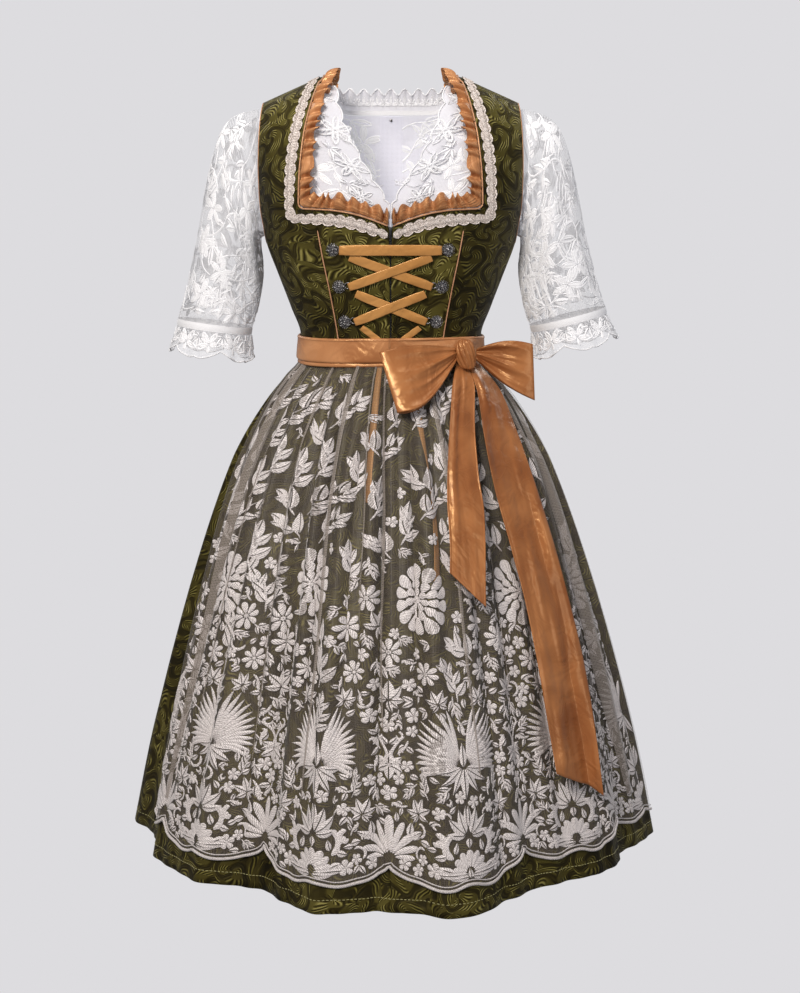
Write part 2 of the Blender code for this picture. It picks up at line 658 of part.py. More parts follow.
# ---- bow ---------------------------------------------------------------------------------------
KNOT_PLACE = np.array((0.1025, -0.0868, -0.3720))
KNOT_SIZE = np.array((0.0138, 0.0100, 0.0205))    # half its width, depth and height
#               upper and lower end of each edge, at the knot and at the loop's tip, and how far
#               the upper and lower long edges swell between them
LOOPS = {"left": {"pinch": ((0.0895, -0.0872, -0.3640), (0.0895, -0.0874, -0.3800)),
                  "tip": ((-0.0150, -0.1330, -0.3665), (0.0094, -0.1610, -0.4443)),
                  "belly": ((0.0, -0.0030, 0.0060), (0.0, -0.0200, -0.0200))},
         "right": {"pinch": ((0.1157, -0.0866, -0.3655), (0.1157, -0.0866, -0.3780)),
                   "tip": ((0.1940, -0.0830, -0.3585), (0.1965, -0.0950, -0.4340)),
                   "belly": ((0.0, 0.0, 0.0080), (0.0, 0.0, -0.0065))}}
LOOP_DEPTH = 0.0085
#                height   left_x   right_x
TAILS = {"short": ((-0.3850, 0.0895, 0.1030),
                   (-0.4200, 0.0815, 0.1150),
                   (-0.4650, 0.0785, 0.1145),
                   (-0.5160, 0.0765, 0.1165),
                   (-0.5600, 0.0748, 0.1225),
                   (-0.6060, 0.0762, 0.1245),
                   (-0.6424, 0.0764, 0.1255)),
         "long": ((-0.3830, 0.1045, 0.1155),
                  (-0.4220, 0.1165, 0.1500),
                  (-0.4750, 0.1240, 0.1730),
                  (-0.5370, 0.1370, 0.1950),
                  (-0.6215, 0.1610, 0.2210),
                  (-0.6910, 0.1790, 0.2400),
                  (-0.7670, 0.1930, 0.2600),
                  (-0.8320, 0.2035, 0.2735),
                  (-0.9105, 0.2178, 0.2860))}
TAIL_SLANT = {"short": 0.0450, "long": 0.0400}    # how much lower the cut end is at its right edge
TAIL_ROWS = {"short": 9, "long": 12}
TAIL_LIFT = 0.0060           # clear space between the apron and a tail
BRIDGED = 5                  # skirt columns to each side whose folds a tail bridges


def bow_knot():
    """The wrap over the knot, a short fat barrel against the belt."""
    bpy.ops.mesh.primitive_uv_sphere_add(segments=12, ring_count=8, radius=1.0)
    knot = adopt("bow_knot", "copper_satin")
    for point in knot.data.vertices:
        point.co = KNOT_SIZE * point.co
    knot.location = KNOT_PLACE


def bow_loop(side):
    """A loop of the tie: out along its front, round the tip and back behind, gathered at the knot."""
    shape = LOOPS[side]
    pinch, tip, belly = (np.array(shape[key]) for key in ("pinch", "tip", "belly"))
    turn = np.radians(np.linspace(168.0, -168.0, 15))[:, None, None]
    width = np.linspace(0.0, 1.0, 5)[None, :, None]
    out = (1.0 + np.cos(turn)) / 2.0
    near = pinch[0] * (1.0 - width) + pinch[1] * width
    far = tip[0] * (1.0 - width) + tip[1] * width
    swell = belly[0] * (1.0 - width) + belly[1] * width
    centre = near * (1.0 - out) + far * out + swell * np.sin(math.pi * out)
    facing = np.cross(tip[1] - tip[0], tip.mean(axis=0) - pinch.mean(axis=0))
    facing = unit(facing if facing[1] < 0.0 else -facing)
    points = centre + facing * LOOP_DEPTH * np.sin(turn) * (0.35 + 0.65 * out)
    points = np.transpose(points, (1, 0, 2))
    if side == "left":
        points = points[:, ::-1]
    cloth(f"bow_loop_{side}", points, SATIN_WALL, "copper_satin", outwards=False)


def skirt_front(x, height, lift):
    """Depth of a smooth skin that bridges the skirt's folds, in front of it by lift."""
    half_width = skirt_radii(0.0, height, False)[0]
    middle = np.degrees(np.arcsin(np.clip(x / half_width, -0.97, 0.97))) * SKIRT_COLUMNS / 360.0
    depths = []
    for shift in range(-BRIDGED, BRIDGED + 1):
        a, b = skirt_radii(middle + shift, height, gathers=False)
        share = np.clip(x / (a + lift), -0.999, 0.999)
        depths.append((b + lift) * np.sqrt(1.0 - share ** 2))
    return -np.max(depths, axis=0)


def bow_tail(name):
    """A tail of the tie that hangs from under the knot over the apron, cut on a slant."""
    table = TAILS[name]
    share = np.linspace(0.0, 1.0, TAIL_ROWS[name])
    rows = [(float(k), *row) for k, row in enumerate(table)]
    height, left, right = (smooth(rows, k, share * (len(table) - 1)) for k in (1, 2, 3))
    width = np.linspace(0.0, 1.0, 4)
    x = left[:, None] * (1.0 - width) + right[:, None] * width
    z = height[:, None] - TAIL_SLANT[name] * share[:, None] ** 3 * width
    y = skirt_front(x, z, SKIRT_WALL + APRON_GAP + LACE_WALL + TAIL_LIFT)
    size = KNOT_SIZE + 4.0 * SEAM
    z[0] = KNOT_PLACE[2] - size[2] * np.sqrt(1.0 - ((x[0] - KNOT_PLACE[0]) / size[0]) ** 2)
    y[0] = KNOT_PLACE[1]
    y[1] -= 0.0040
    cloth(f"bow_tail_{name}", np.stack((x, y, z), axis=-1), SATIN_WALL, "copper_satin")


# ---- blouse ------------------------------------------------------------------------------------
#           drop   half width of the front opening
BLOUSE_V = ((0.000, 0.0900),
            (0.030, 0.0860),
            (0.060, 0.0780),
            (0.100, 0.0600),
            (0.140, 0.0360),
            (0.175, 0.0130),
            (0.195, 0.0012),
            (0.260, 0.0012))
BLOUSE_UNDERARM = 0.212
ARMHOLE_DROPS = np.array((0.0, 0.006, 0.022, 0.048, 0.080, 0.115, 0.150, 0.180, 0.200,
                          BLOUSE_UNDERARM))
BLOUSE_HEM = 0.252
BLOUSE_DROPS = np.concatenate((ARMHOLE_DROPS, (0.232, BLOUSE_HEM)))
BACK_NECK = 0.0430           # drop of the back neckline
BACK_SHARES = np.array((0.0, 0.12, 0.22, 0.29, 0.32, 0.50, 0.75, 1.0))   # from the middle to the side
NECK_SHARE = 0.32            # where that neckline meets the shoulder
COLLAR_HALF = 0.0770
COLLAR_HEIGHT = 0.0320
COLLAR_WAVE = 0.0045


def blouse_edge(drops, front=True):
    """Angle of the blouse's armhole, which reaches further out than the bodice's and closes above."""
    edge = armhole_angle(drops, front)
    reach = 0.35 + 0.65 * np.clip((drops - BLOUSE_UNDERARM + 0.05) / 0.05, 0.0, 1.0)
    return edge + (90.0 - edge) * reach


def back_neck_drop(share):
    """Drop of the blouse's back neckline at a share of the way from the middle to the side."""
    return BACK_NECK * np.clip(1.0 - (np.abs(share) / NECK_SHARE) ** 8, 0.0, 1.0)


def blouse_body():
    """Cropped lace fronts with their V, and the back, worn under the bodice."""
    inner = angle_of(smooth(BLOUSE_V, 1, BLOUSE_DROPS), BLOUSE_DROPS)
    outer = blouse_edge(BLOUSE_DROPS) - seam_angle(0.17)
    angles, drops = grid(inner, outer, BLOUSE_DROPS, 7)
    both_sides("blouse_front", figure(angles, drops, BLOUSE_LIFT), LACE_WALL, "white_lace")

    share = np.concatenate((BACK_SHARES[::-1], -BACK_SHARES[1:]))[None, :]
    top = back_neck_drop(share)
    drops = top + BLOUSE_DROPS[:, None] * (BLOUSE_HEM - top) / BLOUSE_HEM
    edge = blouse_edge(BLOUSE_DROPS, front=False) + seam_angle(0.17)
    angles = (180.0 - (180.0 - edge[:, None]) * np.abs(share)) * np.where(share < 0.0, -1.0, 1.0)
    cloth("blouse_back", figure(angles, drops, BLOUSE_LIFT), LACE_WALL, "white_lace")


def blouse_trims():
    """Flower lace along the front V, and the lace that stands up at the back of the neck."""
    drops = np.linspace(0.014, 0.186, 14)
    edge = smooth(BLOUSE_V, 1, drops)
    wave = np.where(np.arange(len(drops)) % 2 == 0, 0.003, -0.003)
    inner = np.maximum(edge - 0.014 - wave, 0.0020)
    lift = BLOUSE_LIFT + LACE_WALL + 0.0009
    points = np.stack([figure(angle_of(half, drops), drops, lift) for half in (inner, edge + 0.009)],
                      axis=1)
    both_sides("blouse_neck_trim", points, LACE_WALL, "white_lace")

    turn = 180.0 - blouse_edge(np.zeros(1), front=False)[0]
    half = np.linspace(COLLAR_HALF, -COLLAR_HALF, 17)
    share = (180.0 - angle_of(np.abs(half), 0.0 * half, front=False)) / turn
    foot = figure((180.0 - turn * share) * np.where(half < 0.0, -1.0, 1.0),
                  back_neck_drop(share), BLOUSE_LIFT + LACE_WALL + SEAM)
    wave = np.where(np.arange(len(half)) % 2 == 0, COLLAR_WAVE, -COLLAR_WAVE)
    rise = COLLAR_HEIGHT + wave
    middle, top = foot.copy(), foot.copy()
    middle[:, 2] += 0.5 * rise
    middle[:, 1] += 0.0015
    top[:, 2] += rise
    cloth("blouse_collar", np.stack((top, middle, foot)), LACE_WALL, "white_lace")


def armhole_ring():
    """The ring that is sewn into the blouse's right armhole, from the shoulder round by the front."""
    drops = ARMHOLE_DROPS - np.where(ARMHOLE_DROPS >= BLOUSE_UNDERARM, 3.0 * SEAM, 0.0)
    turn = 2.0 * seam_angle(0.17)
    front = np.minimum(blouse_edge(drops) + turn, 90.0)
    back = np.maximum(blouse_edge(drops, front=False) - turn, 90.0)
    around = np.concatenate((drops, drops[-2:0:-1]))
    return figure(np.concatenate((front, back[-2:0:-1])), around, BLOUSE_LIFT + LACE_WALL + SEAM)


def sleeves():
    """Elbow-length lace sleeves, each with a plain band and a deep lace edge."""
    armhole = armhole_ring()
    columns = len(armhole)
    turns = np.radians(np.arange(columns) * 360.0 / columns)[:, None]
    for side, rise in CUFF_RISE.items():
        rings = [armhole]
        for number, (outer_x, outer_z, inner_x, inner_z, half_depth) in enumerate(SLEEVE, start=1):
            lift = rise * (number / len(SLEEVE)) ** 2
            outer = np.array((outer_x + 0.1 * lift, 0.0, outer_z + lift))
            inner = np.array((inner_x, 0.0, inner_z + 0.2 * lift))
            rings.append((outer + inner) / 2.0 + np.cos(turns) * (outer - inner) / 2.0
                         - np.sin(turns) * np.array((0.0, half_depth, 0.0)))
        body = np.array(rings)
        across = body[-1, 0] - body[-1, columns // 2]
        fall = unit(np.array((across[2], 0.0, -across[0])))
        out = body[-1] - body[-1].mean(axis=0)
        band_top = body[-1] + fall * SEAM
        band = np.stack((band_top, band_top + fall * CUFF_BAND))
        lace_top = band[-1] + fall * SEAM
        deep = fall * (CUFF_LACE + CUFF_WAVE * np.cos(CUFF_WAVES * turns))
        lace = np.stack((lace_top, lace_top + 0.55 * deep + 0.05 * out, lace_top + deep + 0.12 * out))
        for name, points, wall in (("blouse_sleeve", body, LACE_WALL), ("cuff_band", band, BAND_WALL),
                                   ("cuff_lace", lace, LACE_WALL)):
            points = points[:, ::-1] if side == "right" else points * MIRROR
            cloth(f"{name}_{side}", points, wall, "white_lace", closed=True, outwards=False)


# ---- build -------------------------------------------------------------------------------------
def build():
    """Every piece of the set, from the blouse outwards."""
    blouse_body()
    blouse_trims()
    sleeves()
    bodice_panels()
    front_zip()
    pipings()
    neck_strip("neck_ruffle", -0.0020, -0.0200, 0.0105, BODICE_LIFT + 0.0022, BODICE_LIFT + 0.0046,
               0.0022, SATIN_WALL, "copper_satin")
    neck_strip("neck_braid", 0.0055, 0.0215, 0.0240, TRIM_LIFT + 0.0008, TRIM_LIFT + 0.0008, 0.0,
               0.0012, "ivory_braid")
    lacing_hooks()
    lacing()
    skirt_panels()
    lacing_ends()
    apron_lace()
    cloth("apron_waistband", belt_ring(BELT), 0.0016, "copper_satin", closed=True)
    bow_knot()
    for side in LOOPS:
        bow_loop(side)
    for tail in TAILS:
        bow_tail(tail)


build()
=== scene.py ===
# %% [markdown]
# # A dirndl with its lace apron and blouse
# The dress hangs on its wearer's shoulders, hollow, with the neck, hem and cuffs open. Each piece of
# cloth is a surface worked out from a formula on a grid, and the lace is sewn on it afterwards, leaf
# by leaf. The origin is the middle of the shoulder line, the front faces -Y and +Z is up.

# %% Load the fixed model
import json
import math

import bpy
import numpy as np
from numpy import (arange, array, asarray, broadcast_to, clip, concatenate, cos, exp, full,
    gradient, linspace, maximum, minimum, pi, radians, sin, stack, where)
from numpy.linalg import norm
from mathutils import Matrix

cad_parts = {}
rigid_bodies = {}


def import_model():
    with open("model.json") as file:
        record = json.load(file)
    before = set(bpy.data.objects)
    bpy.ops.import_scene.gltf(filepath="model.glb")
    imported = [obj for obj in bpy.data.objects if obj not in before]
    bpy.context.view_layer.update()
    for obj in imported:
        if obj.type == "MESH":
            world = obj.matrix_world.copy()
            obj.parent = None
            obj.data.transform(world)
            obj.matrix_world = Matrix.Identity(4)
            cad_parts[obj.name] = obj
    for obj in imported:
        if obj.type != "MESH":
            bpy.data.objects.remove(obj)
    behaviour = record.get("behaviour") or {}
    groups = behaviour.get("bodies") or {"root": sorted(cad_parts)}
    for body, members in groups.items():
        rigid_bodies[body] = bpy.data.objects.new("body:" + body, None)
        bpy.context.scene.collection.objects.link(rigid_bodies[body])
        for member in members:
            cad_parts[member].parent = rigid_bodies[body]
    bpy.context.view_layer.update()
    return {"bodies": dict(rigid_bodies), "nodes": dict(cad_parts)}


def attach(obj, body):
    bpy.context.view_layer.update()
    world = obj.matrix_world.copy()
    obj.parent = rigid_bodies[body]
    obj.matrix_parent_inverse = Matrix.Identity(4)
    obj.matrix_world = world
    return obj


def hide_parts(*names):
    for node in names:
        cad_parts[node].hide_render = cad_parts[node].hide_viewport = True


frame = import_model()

body = list(frame["bodies"])[0]
print("nodes", len(frame["nodes"]), "body", body)

# %% [markdown]
# ## From a grid of points to a piece of cloth
# A sheet of cloth is thin beside its length, so it is a grid of points with a wall put on by
# Solidify. The grid keeps its own lengths in metres as its UV map: a weave or a printed pattern that
# reads them stays the same size all over the piece, however the cloth bends.


# %% Grids, lengths and normals
def steps_down(count, first=0.0, last=1.0):
    """Even steps as a column, which is broadcast down a grid."""
    return linspace(first, last, count)[:, None]


def steps_along(count, first=0.0, last=1.0):
    """Even steps as a row, which is broadcast along a grid."""
    return linspace(first, last, count)[None, :]


def travelled(line):
    """The length from a line's start to each of its points: the running sum of its steps."""
    return concatenate(([0.0], np.cumsum(norm(np.diff(line, axis=0), axis=1))))


def unit(vectors):
    """Each vector divided by its own length."""
    return vectors / maximum(norm(vectors, axis=-1, keepdims=True), 1e-12)


def spline(rows, at):
    """Points between rows, by the Catmull-Rom cubic through the two rows on each side of at."""
    rows, at = asarray(rows, float), asarray(at, float)
    last = len(rows) - 1
    k = clip(np.floor(at).astype(int), 0, last - 1)
    t = (at - k).reshape(at.shape + (1,) * (rows.ndim - 1))
    before, here, there, after = (rows[clip(k + s, 0, last)] for s in (-1, 0, 1, 2))
    return 0.5 * (2 * here + (there - before) * t + (2 * before - 5 * here + 4 * there - after) * t ** 2
        + (3 * here - before - 3 * there + after) * t ** 3)


def grid_normals(points):
    """Cross product of the steps down and along a grid, each taken between the two neighbours."""
    return unit(np.cross(gradient(points, axis=0), gradient(points, axis=1)))


def grid_lengths(points):
    """UV in metres: the run along each row from its middle, and the mean run down the columns."""
    along = norm(np.diff(points, axis=1), axis=-1)
    u = concatenate((np.zeros((len(points), 1)), np.cumsum(along, axis=1)), axis=1)
    u = u - u[:, u.shape[1] // 2][:, None]
    down = norm(np.diff(points, axis=0), axis=-1).mean(axis=1)
    v = concatenate(([0.0], -np.cumsum(down)))
    return stack((u, broadcast_to(v[:, None], u.shape)), axis=-1)


def mesh_piece(name, points, faces, uv, finish, ride=True, nodes=()):
    """A mesh from points, quads and a UV for each point, that stands for its nodes.

    A piece named as a node stands for that node, and gets _look after its name.
    """
    if name in frame["nodes"]:
        name, nodes = f"{name}_look", (name,)
    mesh = bpy.data.meshes.new(name)
    mesh.vertices.add(len(points))
    mesh.vertices.foreach_set("co", points.astype(np.float32).ravel())
    mesh.loops.add(faces.size)
    mesh.loops.foreach_set("vertex_index", faces.astype(np.int32).ravel())
    mesh.polygons.add(len(faces))
    mesh.polygons.foreach_set("loop_start", arange(0, faces.size, 4, dtype=np.int32))
    mesh.update(calc_edges=True)
    layer = mesh.uv_layers.new(name="cloth")
    layer.data.foreach_set("uv", uv[faces.ravel()].astype(np.float32).ravel())
    mesh.shade_smooth()
    piece = bpy.data.objects.new(name, mesh)
    bpy.context.scene.collection.objects.link(piece)
    mesh.materials.append(finish)
    if ride:
        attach(piece, body)
    if nodes:
        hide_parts(*nodes)
    return piece


def grid_faces(rows, columns, closed=False):
    """Quads of a grid, each from the four points round one cell."""
    i, j = np.meshgrid(arange(rows - 1), arange(columns if closed else columns - 1), indexing="ij")
    k = (j + 1) % columns
    return stack((i * columns + j, (i + 1) * columns + j, (i + 1) * columns + k, i * columns + k),
        axis=-1).reshape(-1, 4)


def cloth(name, points, finish, wall=0.0, closed=False, outwards=True, nodes=()):
    """A grid made a piece of cloth that stands for its nodes, with its wall on one side."""
    piece = mesh_piece(name, points.reshape(-1, 3), grid_faces(*points.shape[:2], closed),
        grid_lengths(points).reshape(-1, 2), finish, nodes=nodes)
    if wall:
        solid = piece.modifiers.new("wall", "SOLIDIFY")
        solid.thickness = wall
        solid.offset = 1.0 if outwards else -1.0
    return piece


def tube_grid(path, radius, sides):
    """Rings round a path: radius times cosine and sine along two directions square to the path."""
    along = unit(gradient(path, axis=0))
    helper = where(np.abs(along[:, 2:3]) > 0.9, array((0.0, 1.0, 0.0)), array((0.0, 0.0, 1.0)))
    first = unit(np.cross(along, helper))
    second = np.cross(along, first)
    turn = radians(arange(sides) * 360.0 / sides)[None, :, None]
    radius = broadcast_to(radius, (len(path),))[:, None, None]
    return path[:, None] + radius * (cos(turn) * first[:, None] + sin(turn) * second[:, None])


def cord_piece(name, path, radius, finish, sides=8):
    """A sewn cord along a path, with its ends drawn to points so that they are closed."""
    size = full(len(path), radius)
    size[[0, -1]] = radius * 0.05
    return cloth(name, tube_grid(path, size, sides), finish, closed=True)


# %% [markdown]
# ## The figure the dress is cut for
# The bodice is cut on a general figure. A level section of it is a rounded rectangle, and its half
# width and depth are read at each drop below the shoulder line, so the same two numbers, an angle and
# a drop, place every seam, trim and ribbon on the cloth.

# %% Sizes of the figure and of the bodice, in metres
WAIST_DROP = 0.3680
BODICE_LIFT, BODICE_WALL = 0.0020, 0.0020
BODICE_FACE = BODICE_LIFT + BODICE_WALL
TRIM_LIFT = BODICE_FACE + 0.0004
BLOUSE_LIFT = -0.0023
SECTION_POWER = 2.5
SHOULDER_SLOPE, SHOULDER_START, SLOPE_FADE = 0.44, 0.095, 0.20
# drop, half width, depth in front, depth at the back
FIGURE = (
    (0.000, 0.1880, 0.0000, 0.0000),
    (0.004, 0.1885, 0.0270, 0.0300),
    (0.012, 0.1890, 0.0440, 0.0490),
    (0.040, 0.1900, 0.0720, 0.0800),
    (0.090, 0.1900, 0.0970, 0.0980),
    (0.140, 0.1860, 0.1080, 0.1030),
    (0.180, 0.1795, 0.1130, 0.1020),
    (0.222, 0.1690, 0.1110, 0.0985),
    (0.265, 0.1530, 0.1040, 0.0945),
    (0.310, 0.1360, 0.0960, 0.0908),
    (0.350, 0.1225, 0.0905, 0.0892),
    (0.400, 0.1215, 0.0895, 0.0890))
# drop, half width of the princess seam
PRINCESS = (
    (0.1780, 0.1000), (0.2000, 0.0970), (0.2400, 0.0900), (0.2850, 0.0810), (0.3500, 0.0700),
    (0.4000, 0.0650))
# drop, armhole, neckline
EDGES = (
    (0.0000, 0.1740, 0.0890), (0.0260, 0.1755, 0.1010), (0.0700, 0.1770, 0.1125),
    (0.1100, 0.1775, 0.1175), (0.1400, 0.1770, 0.1195), (0.1740, 0.1755, 0.1200),
    (0.2000, 0.1715, 0.1190), (0.2220, 0.1690, 0.1190))
UNDERARM = 0.222
# half width, drop of the neckline's lower edge
SWEETHEART = (
    (0.0000, 0.1990), (0.0100, 0.1950), (0.0360, 0.1855), (0.0700, 0.1780), (0.1190, 0.1745))
BACK_NECK_DROP, BACK_NECK_HALF = 0.150, 0.118
MIRROR = array((-1.0, 1.0, 1.0))


# %% The figure as a function of angle and drop
def smooth(table, column, at):
    """A table's column read along a cubic that never overshoots its rows."""
    rows = array(table)
    x, y = rows[:, 0], rows[:, column]
    at = clip(at, x[0], x[-1])
    width = np.diff(x)
    secant = np.diff(y) / width
    product = secant[:-1] * secant[1:]
    total = where(np.abs(secant[:-1] + secant[1:]) < 1e-12, 1.0, secant[:-1] + secant[1:])
    slope = concatenate(([secant[0]], where(product > 0.0, 2.0 * product / total, 0.0), [secant[-1]]))
    k = clip(np.searchsorted(x, at, side="right") - 1, 0, len(width) - 1)
    t = (at - x[k]) / width[k]
    return (y[k] * (1 + 2 * t) * (1 - t) ** 2 + slope[k] * width[k] * t * (1 - t) ** 2
        + y[k + 1] * t * t * (3 - 2 * t) + slope[k + 1] * width[k] * t * t * (t - 1))


def figure(angle, drop, lift):
    """Points where |x/a|^n + |y/b|^n = 1 at a drop, moved out by lift along that formula's gradient.

    The angle is in degrees from the front centre, a and b come from FIGURE, and outside the neck the
    height also falls by SHOULDER_SLOPE for each metre outwards.
    """
    angle, drop = np.broadcast_arrays(radians(angle), maximum(drop, 1e-5))
    sine, cosine = sin(angle), cos(angle)
    table = [(math.sqrt(row[0]), *row[1:]) for row in FIGURE]

    def sizes(at):
        root = np.sqrt(maximum(at, 0.0))
        return smooth(table, 1, root), where(cosine >= 0.0, smooth(table, 2, root), smooth(table, 3, root))

    a, b = sizes(drop)
    step = minimum(1e-4, 0.5 * drop)
    (a_more, b_more), (a_less, b_less) = sizes(drop + step), sizes(drop - step)
    power = SECTION_POWER
    x = a * np.sign(sine) * np.abs(sine) ** (2.0 / power)
    y = -b * np.sign(cosine) * np.abs(cosine) ** (2.0 / power)
    across, deep = (np.abs(x) / a) ** power, (np.abs(y) / b) ** power
    beyond = maximum(np.abs(x) - SHOULDER_START, 0.0)
    fade = clip(1.0 - drop / SLOPE_FADE, 0.0, 1.0) ** 2
    tilt = where(beyond > 0.0, SHOULDER_SLOPE * fade, 0.0) * np.sign(x)
    up = (across * (a_more - a_less) / a + deep * (b_more - b_less) / b) / (2.0 * step)
    out_x = np.sign(x) * (np.abs(x) / a) ** (power - 1.0) / a
    out_y = np.sign(y) * (np.abs(y) / b) ** (power - 1.0) / b
    way = unit(stack((out_x + up * tilt, out_y, up), axis=-1))
    z = -drop - SHOULDER_SLOPE * beyond * fade
    return stack((x, y, z), axis=-1) + way * broadcast_to(lift, x.shape)[..., None]


def angle_of(half_width, drop, front=True):
    """The angle whose sine to the power 2/n, times a, gives this half width."""
    a = smooth([(math.sqrt(row[0]), row[1]) for row in FIGURE], 1, np.sqrt(maximum(drop, 0.0)))
    angle = np.degrees(np.arcsin(clip(half_width / a, 0.0, 1.0) ** (SECTION_POWER / 2.0)))
    return where(front, angle, 180.0 - angle)


def on_front(x, drop, lift):
    """A point of the figure's front at a signed distance from its middle."""
    x = asarray(x, float)
    return figure(np.sign(x) * angle_of(np.abs(x), drop), drop, lift)


waist = travelled(figure(linspace(0.0, 360.0, 361), WAIST_DROP, 0.0))
print("waist, m:", round(waist[-1], 3))

# %% [markdown]
# ## Colours and the way a material is made
# Each material starts from what the cloth is. Its colour is picked as an sRGB hex value, turned to
# the linear numbers that the renderer adds and multiplies. One function adds a node, sets it and
# links what it is given, so a whole material reads as a short list.


# %% Colours, nodes and new materials
WAVE_LENGTH = 0.314  # metres from band to band of a wave texture whose scale is 1
TIMES_PLUS = {"operation": "MULTIPLY_ADD"}


def linear(code):
    """sRGB hex to linear: c/12.92 below 0.04045, else ((c + 0.055)/1.055) to the power 2.4."""
    values = [int(code[k:k + 2], 16) / 255.0 for k in (1, 3, 5)]
    return (*(c / 12.92 if c <= 0.04045 else ((c + 0.055) / 1.055) ** 2.4 for c in values), 1.0)


def plug(tree, node, inputs):
    """Sets a node's inputs, each to a value, an output, or the first output of another node."""
    for key, value in inputs.items():
        value = value.outputs[0] if isinstance(value, bpy.types.Node) else value
        if isinstance(value, bpy.types.NodeSocket):
            tree.links.new(value, node.inputs[key])
        else:
            node.inputs[key].default_value = value
    return node


def add(tree, kind, inputs=None, stops=(), **settings):
    """A node of this kind with its settings and inputs, and a colour ramp's (place, hex) stops."""
    node = tree.nodes.new(f"ShaderNode{kind}")
    for key, value in settings.items():
        setattr(node, key, value)
    if stops:
        points = node.color_ramp.elements
        while len(points) < len(stops):
            points.new(0.5)
        for point, (place, colour) in zip(points, stops):
            point.position, point.color = place, linear(colour)
    return plug(tree, node, inputs or {})


def finish_of(name, **sockets):
    """A new material and its Principled shader, with plain values set on the shader's own sockets."""
    made = bpy.data.materials.new(name)
    made.use_nodes = True
    tree = made.node_tree
    values = {key.replace("_", " "): value for key, value in sockets.items()}
    return made, tree, plug(tree, tree.nodes["Principled BSDF"], values)


# %% [markdown]
# ## Olive jacquard
# Jacquard is woven in two faces of the same yarn: a dull ground and a figure of longer, shinier
# floats. So its pattern is less a change of colour than of gloss. The figure here is a field of
# curling feathers: the cloth is parted into cells about 4.6 cm across, and in each cell strokes wind
# round its middle, because they follow the angle plus a multiple of the distance. The ground yarn is
# drawn 0.9 mm apart, three times coarser than the real one, so that it shows at all.

# %% The jacquard's finish
FEATHER_CELL = 0.046  # metres between the middles of two curls
YARN = 0.0009


def jacquard():
    """Arms parted where sin(2 x angle + 13 x distance) is low, each drawn over with fine combed strokes.

    The angle and distance are taken from the middle of a cell, and a chance number turns each cell's
    curl its own way.
    """
    made, tree, shader = finish_of("polyester_jacquard", IOR=1.50, Specular_IOR_Level=0.34,
        Specular_Tint=linear("#D6CE9A"))
    place = add(tree, "UVMap", uv_map="cloth")
    drift = add(tree, "TexNoise", {"Vector": place, "Scale": 14.0, "Detail": 2.0})
    shift = add(tree, "VectorMath", {0: drift.outputs["Color"], 1: (0.5, 0.5, 0.5)}, operation="SUBTRACT")
    bent = add(tree, "VectorMath", {0: shift, 1: (0.062, 0.062, 0.0), 2: place}, **TIMES_PLUS)
    cell = add(tree, "TexVoronoi", {"Vector": bent, "Scale": 1.0 / FEATHER_CELL, "Randomness": 1.0},
        feature="F1")
    chance = add(tree, "SeparateXYZ", {0: cell.outputs["Color"]})
    local = add(tree, "VectorMath", {0: bent, 1: cell.outputs["Position"]}, operation="SUBTRACT")
    axes = add(tree, "SeparateXYZ", {0: local})
    angle = add(tree, "Math", {0: axes.outputs["Y"], 1: axes.outputs["X"]}, operation="ARCTAN2")
    start = add(tree, "Math", {0: chance.outputs["X"], 1: 6.283}, operation="MULTIPLY")

    def wave(strokes, wind):
        """The sine of strokes x angle + wind x the distance from the cell's middle + its own start."""
        around = add(tree, "Math", {0: angle, 1: strokes, 2: start}, **TIMES_PLUS)
        phase = add(tree, "Math", {0: cell.outputs["Distance"], 1: wind, 2: around}, **TIMES_PLUS)
        return add(tree, "Math", {0: phase}, operation="SINE")

    comb = wave(12.0, 78.0)
    arm, tuft, bright, dark = (add(tree, "MapRange", {"Value": value, "From Min": low, "From Max": high},
        interpolation_type="SMOOTHSTEP")
        for value, low, high in ((wave(2.0, 13.0), -0.95, -0.15), (wave(3.0, -17.0), -0.7, 0.5),
        (comb, -0.2, 0.9), (comb, -0.3, -0.9)))
    held = add(tree, "Math", {0: dark, 1: -0.42, 2: 0.0}, **TIMES_PLUS)
    stroke = add(tree, "Math", {0: bright, 1: 0.40, 2: held}, **TIMES_PLUS)
    tufted = add(tree, "Math", {0: stroke, 1: tuft, 2: 0.50}, **TIMES_PLUS)
    broad_arm = add(tree, "Math", {0: arm, 1: 0.72, 2: 0.28}, **TIMES_PLUS)
    floats = add(tree, "Math", {0: broad_arm, 1: tufted}, operation="MULTIPLY")
    # A broad soft cloud makes patches of the cloth lighter and darker at random places: painted sheen and
    # painted shade.
    cloud = add(tree, "TexNoise", {"Vector": place, "Scale": 7.0, "Detail": 2.0})
    figured = add(tree, "Math", {0: floats, 1: 0.85, 2: -0.38}, **TIMES_PLUS)
    tone = add(tree, "Math", {0: cloud, 1: 1.10, 2: figured}, **TIMES_PLUS)
    colour = add(tree, "ValToRGB", {"Fac": tone}, ((0.12, "#090501"), (0.38, "#211A05"), (0.63, "#3E3714"),
        (0.90, "#625B2B"), (1.0, "#857C46")))
    gloss = add(tree, "MapRange", {"Value": floats, "To Min": 0.60, "To Max": 0.36})
    yarn = add(tree, "TexWave", {"Vector": place, "Scale": WAVE_LENGTH / YARN, "Distortion": 0.6},
        bands_direction="DIAGONAL")
    height = add(tree, "Math", {0: yarn.outputs["Fac"], 1: 0.10, 2: floats}, **TIMES_PLUS)
    relief = add(tree, "Bump", {"Height": height, "Strength": 0.8, "Distance": 0.0016})
    plug(tree, shader, {"Base Color": colour, "Roughness": gloss, "Normal": relief})
    return made


olive = jacquard()
print("made", olive.name)

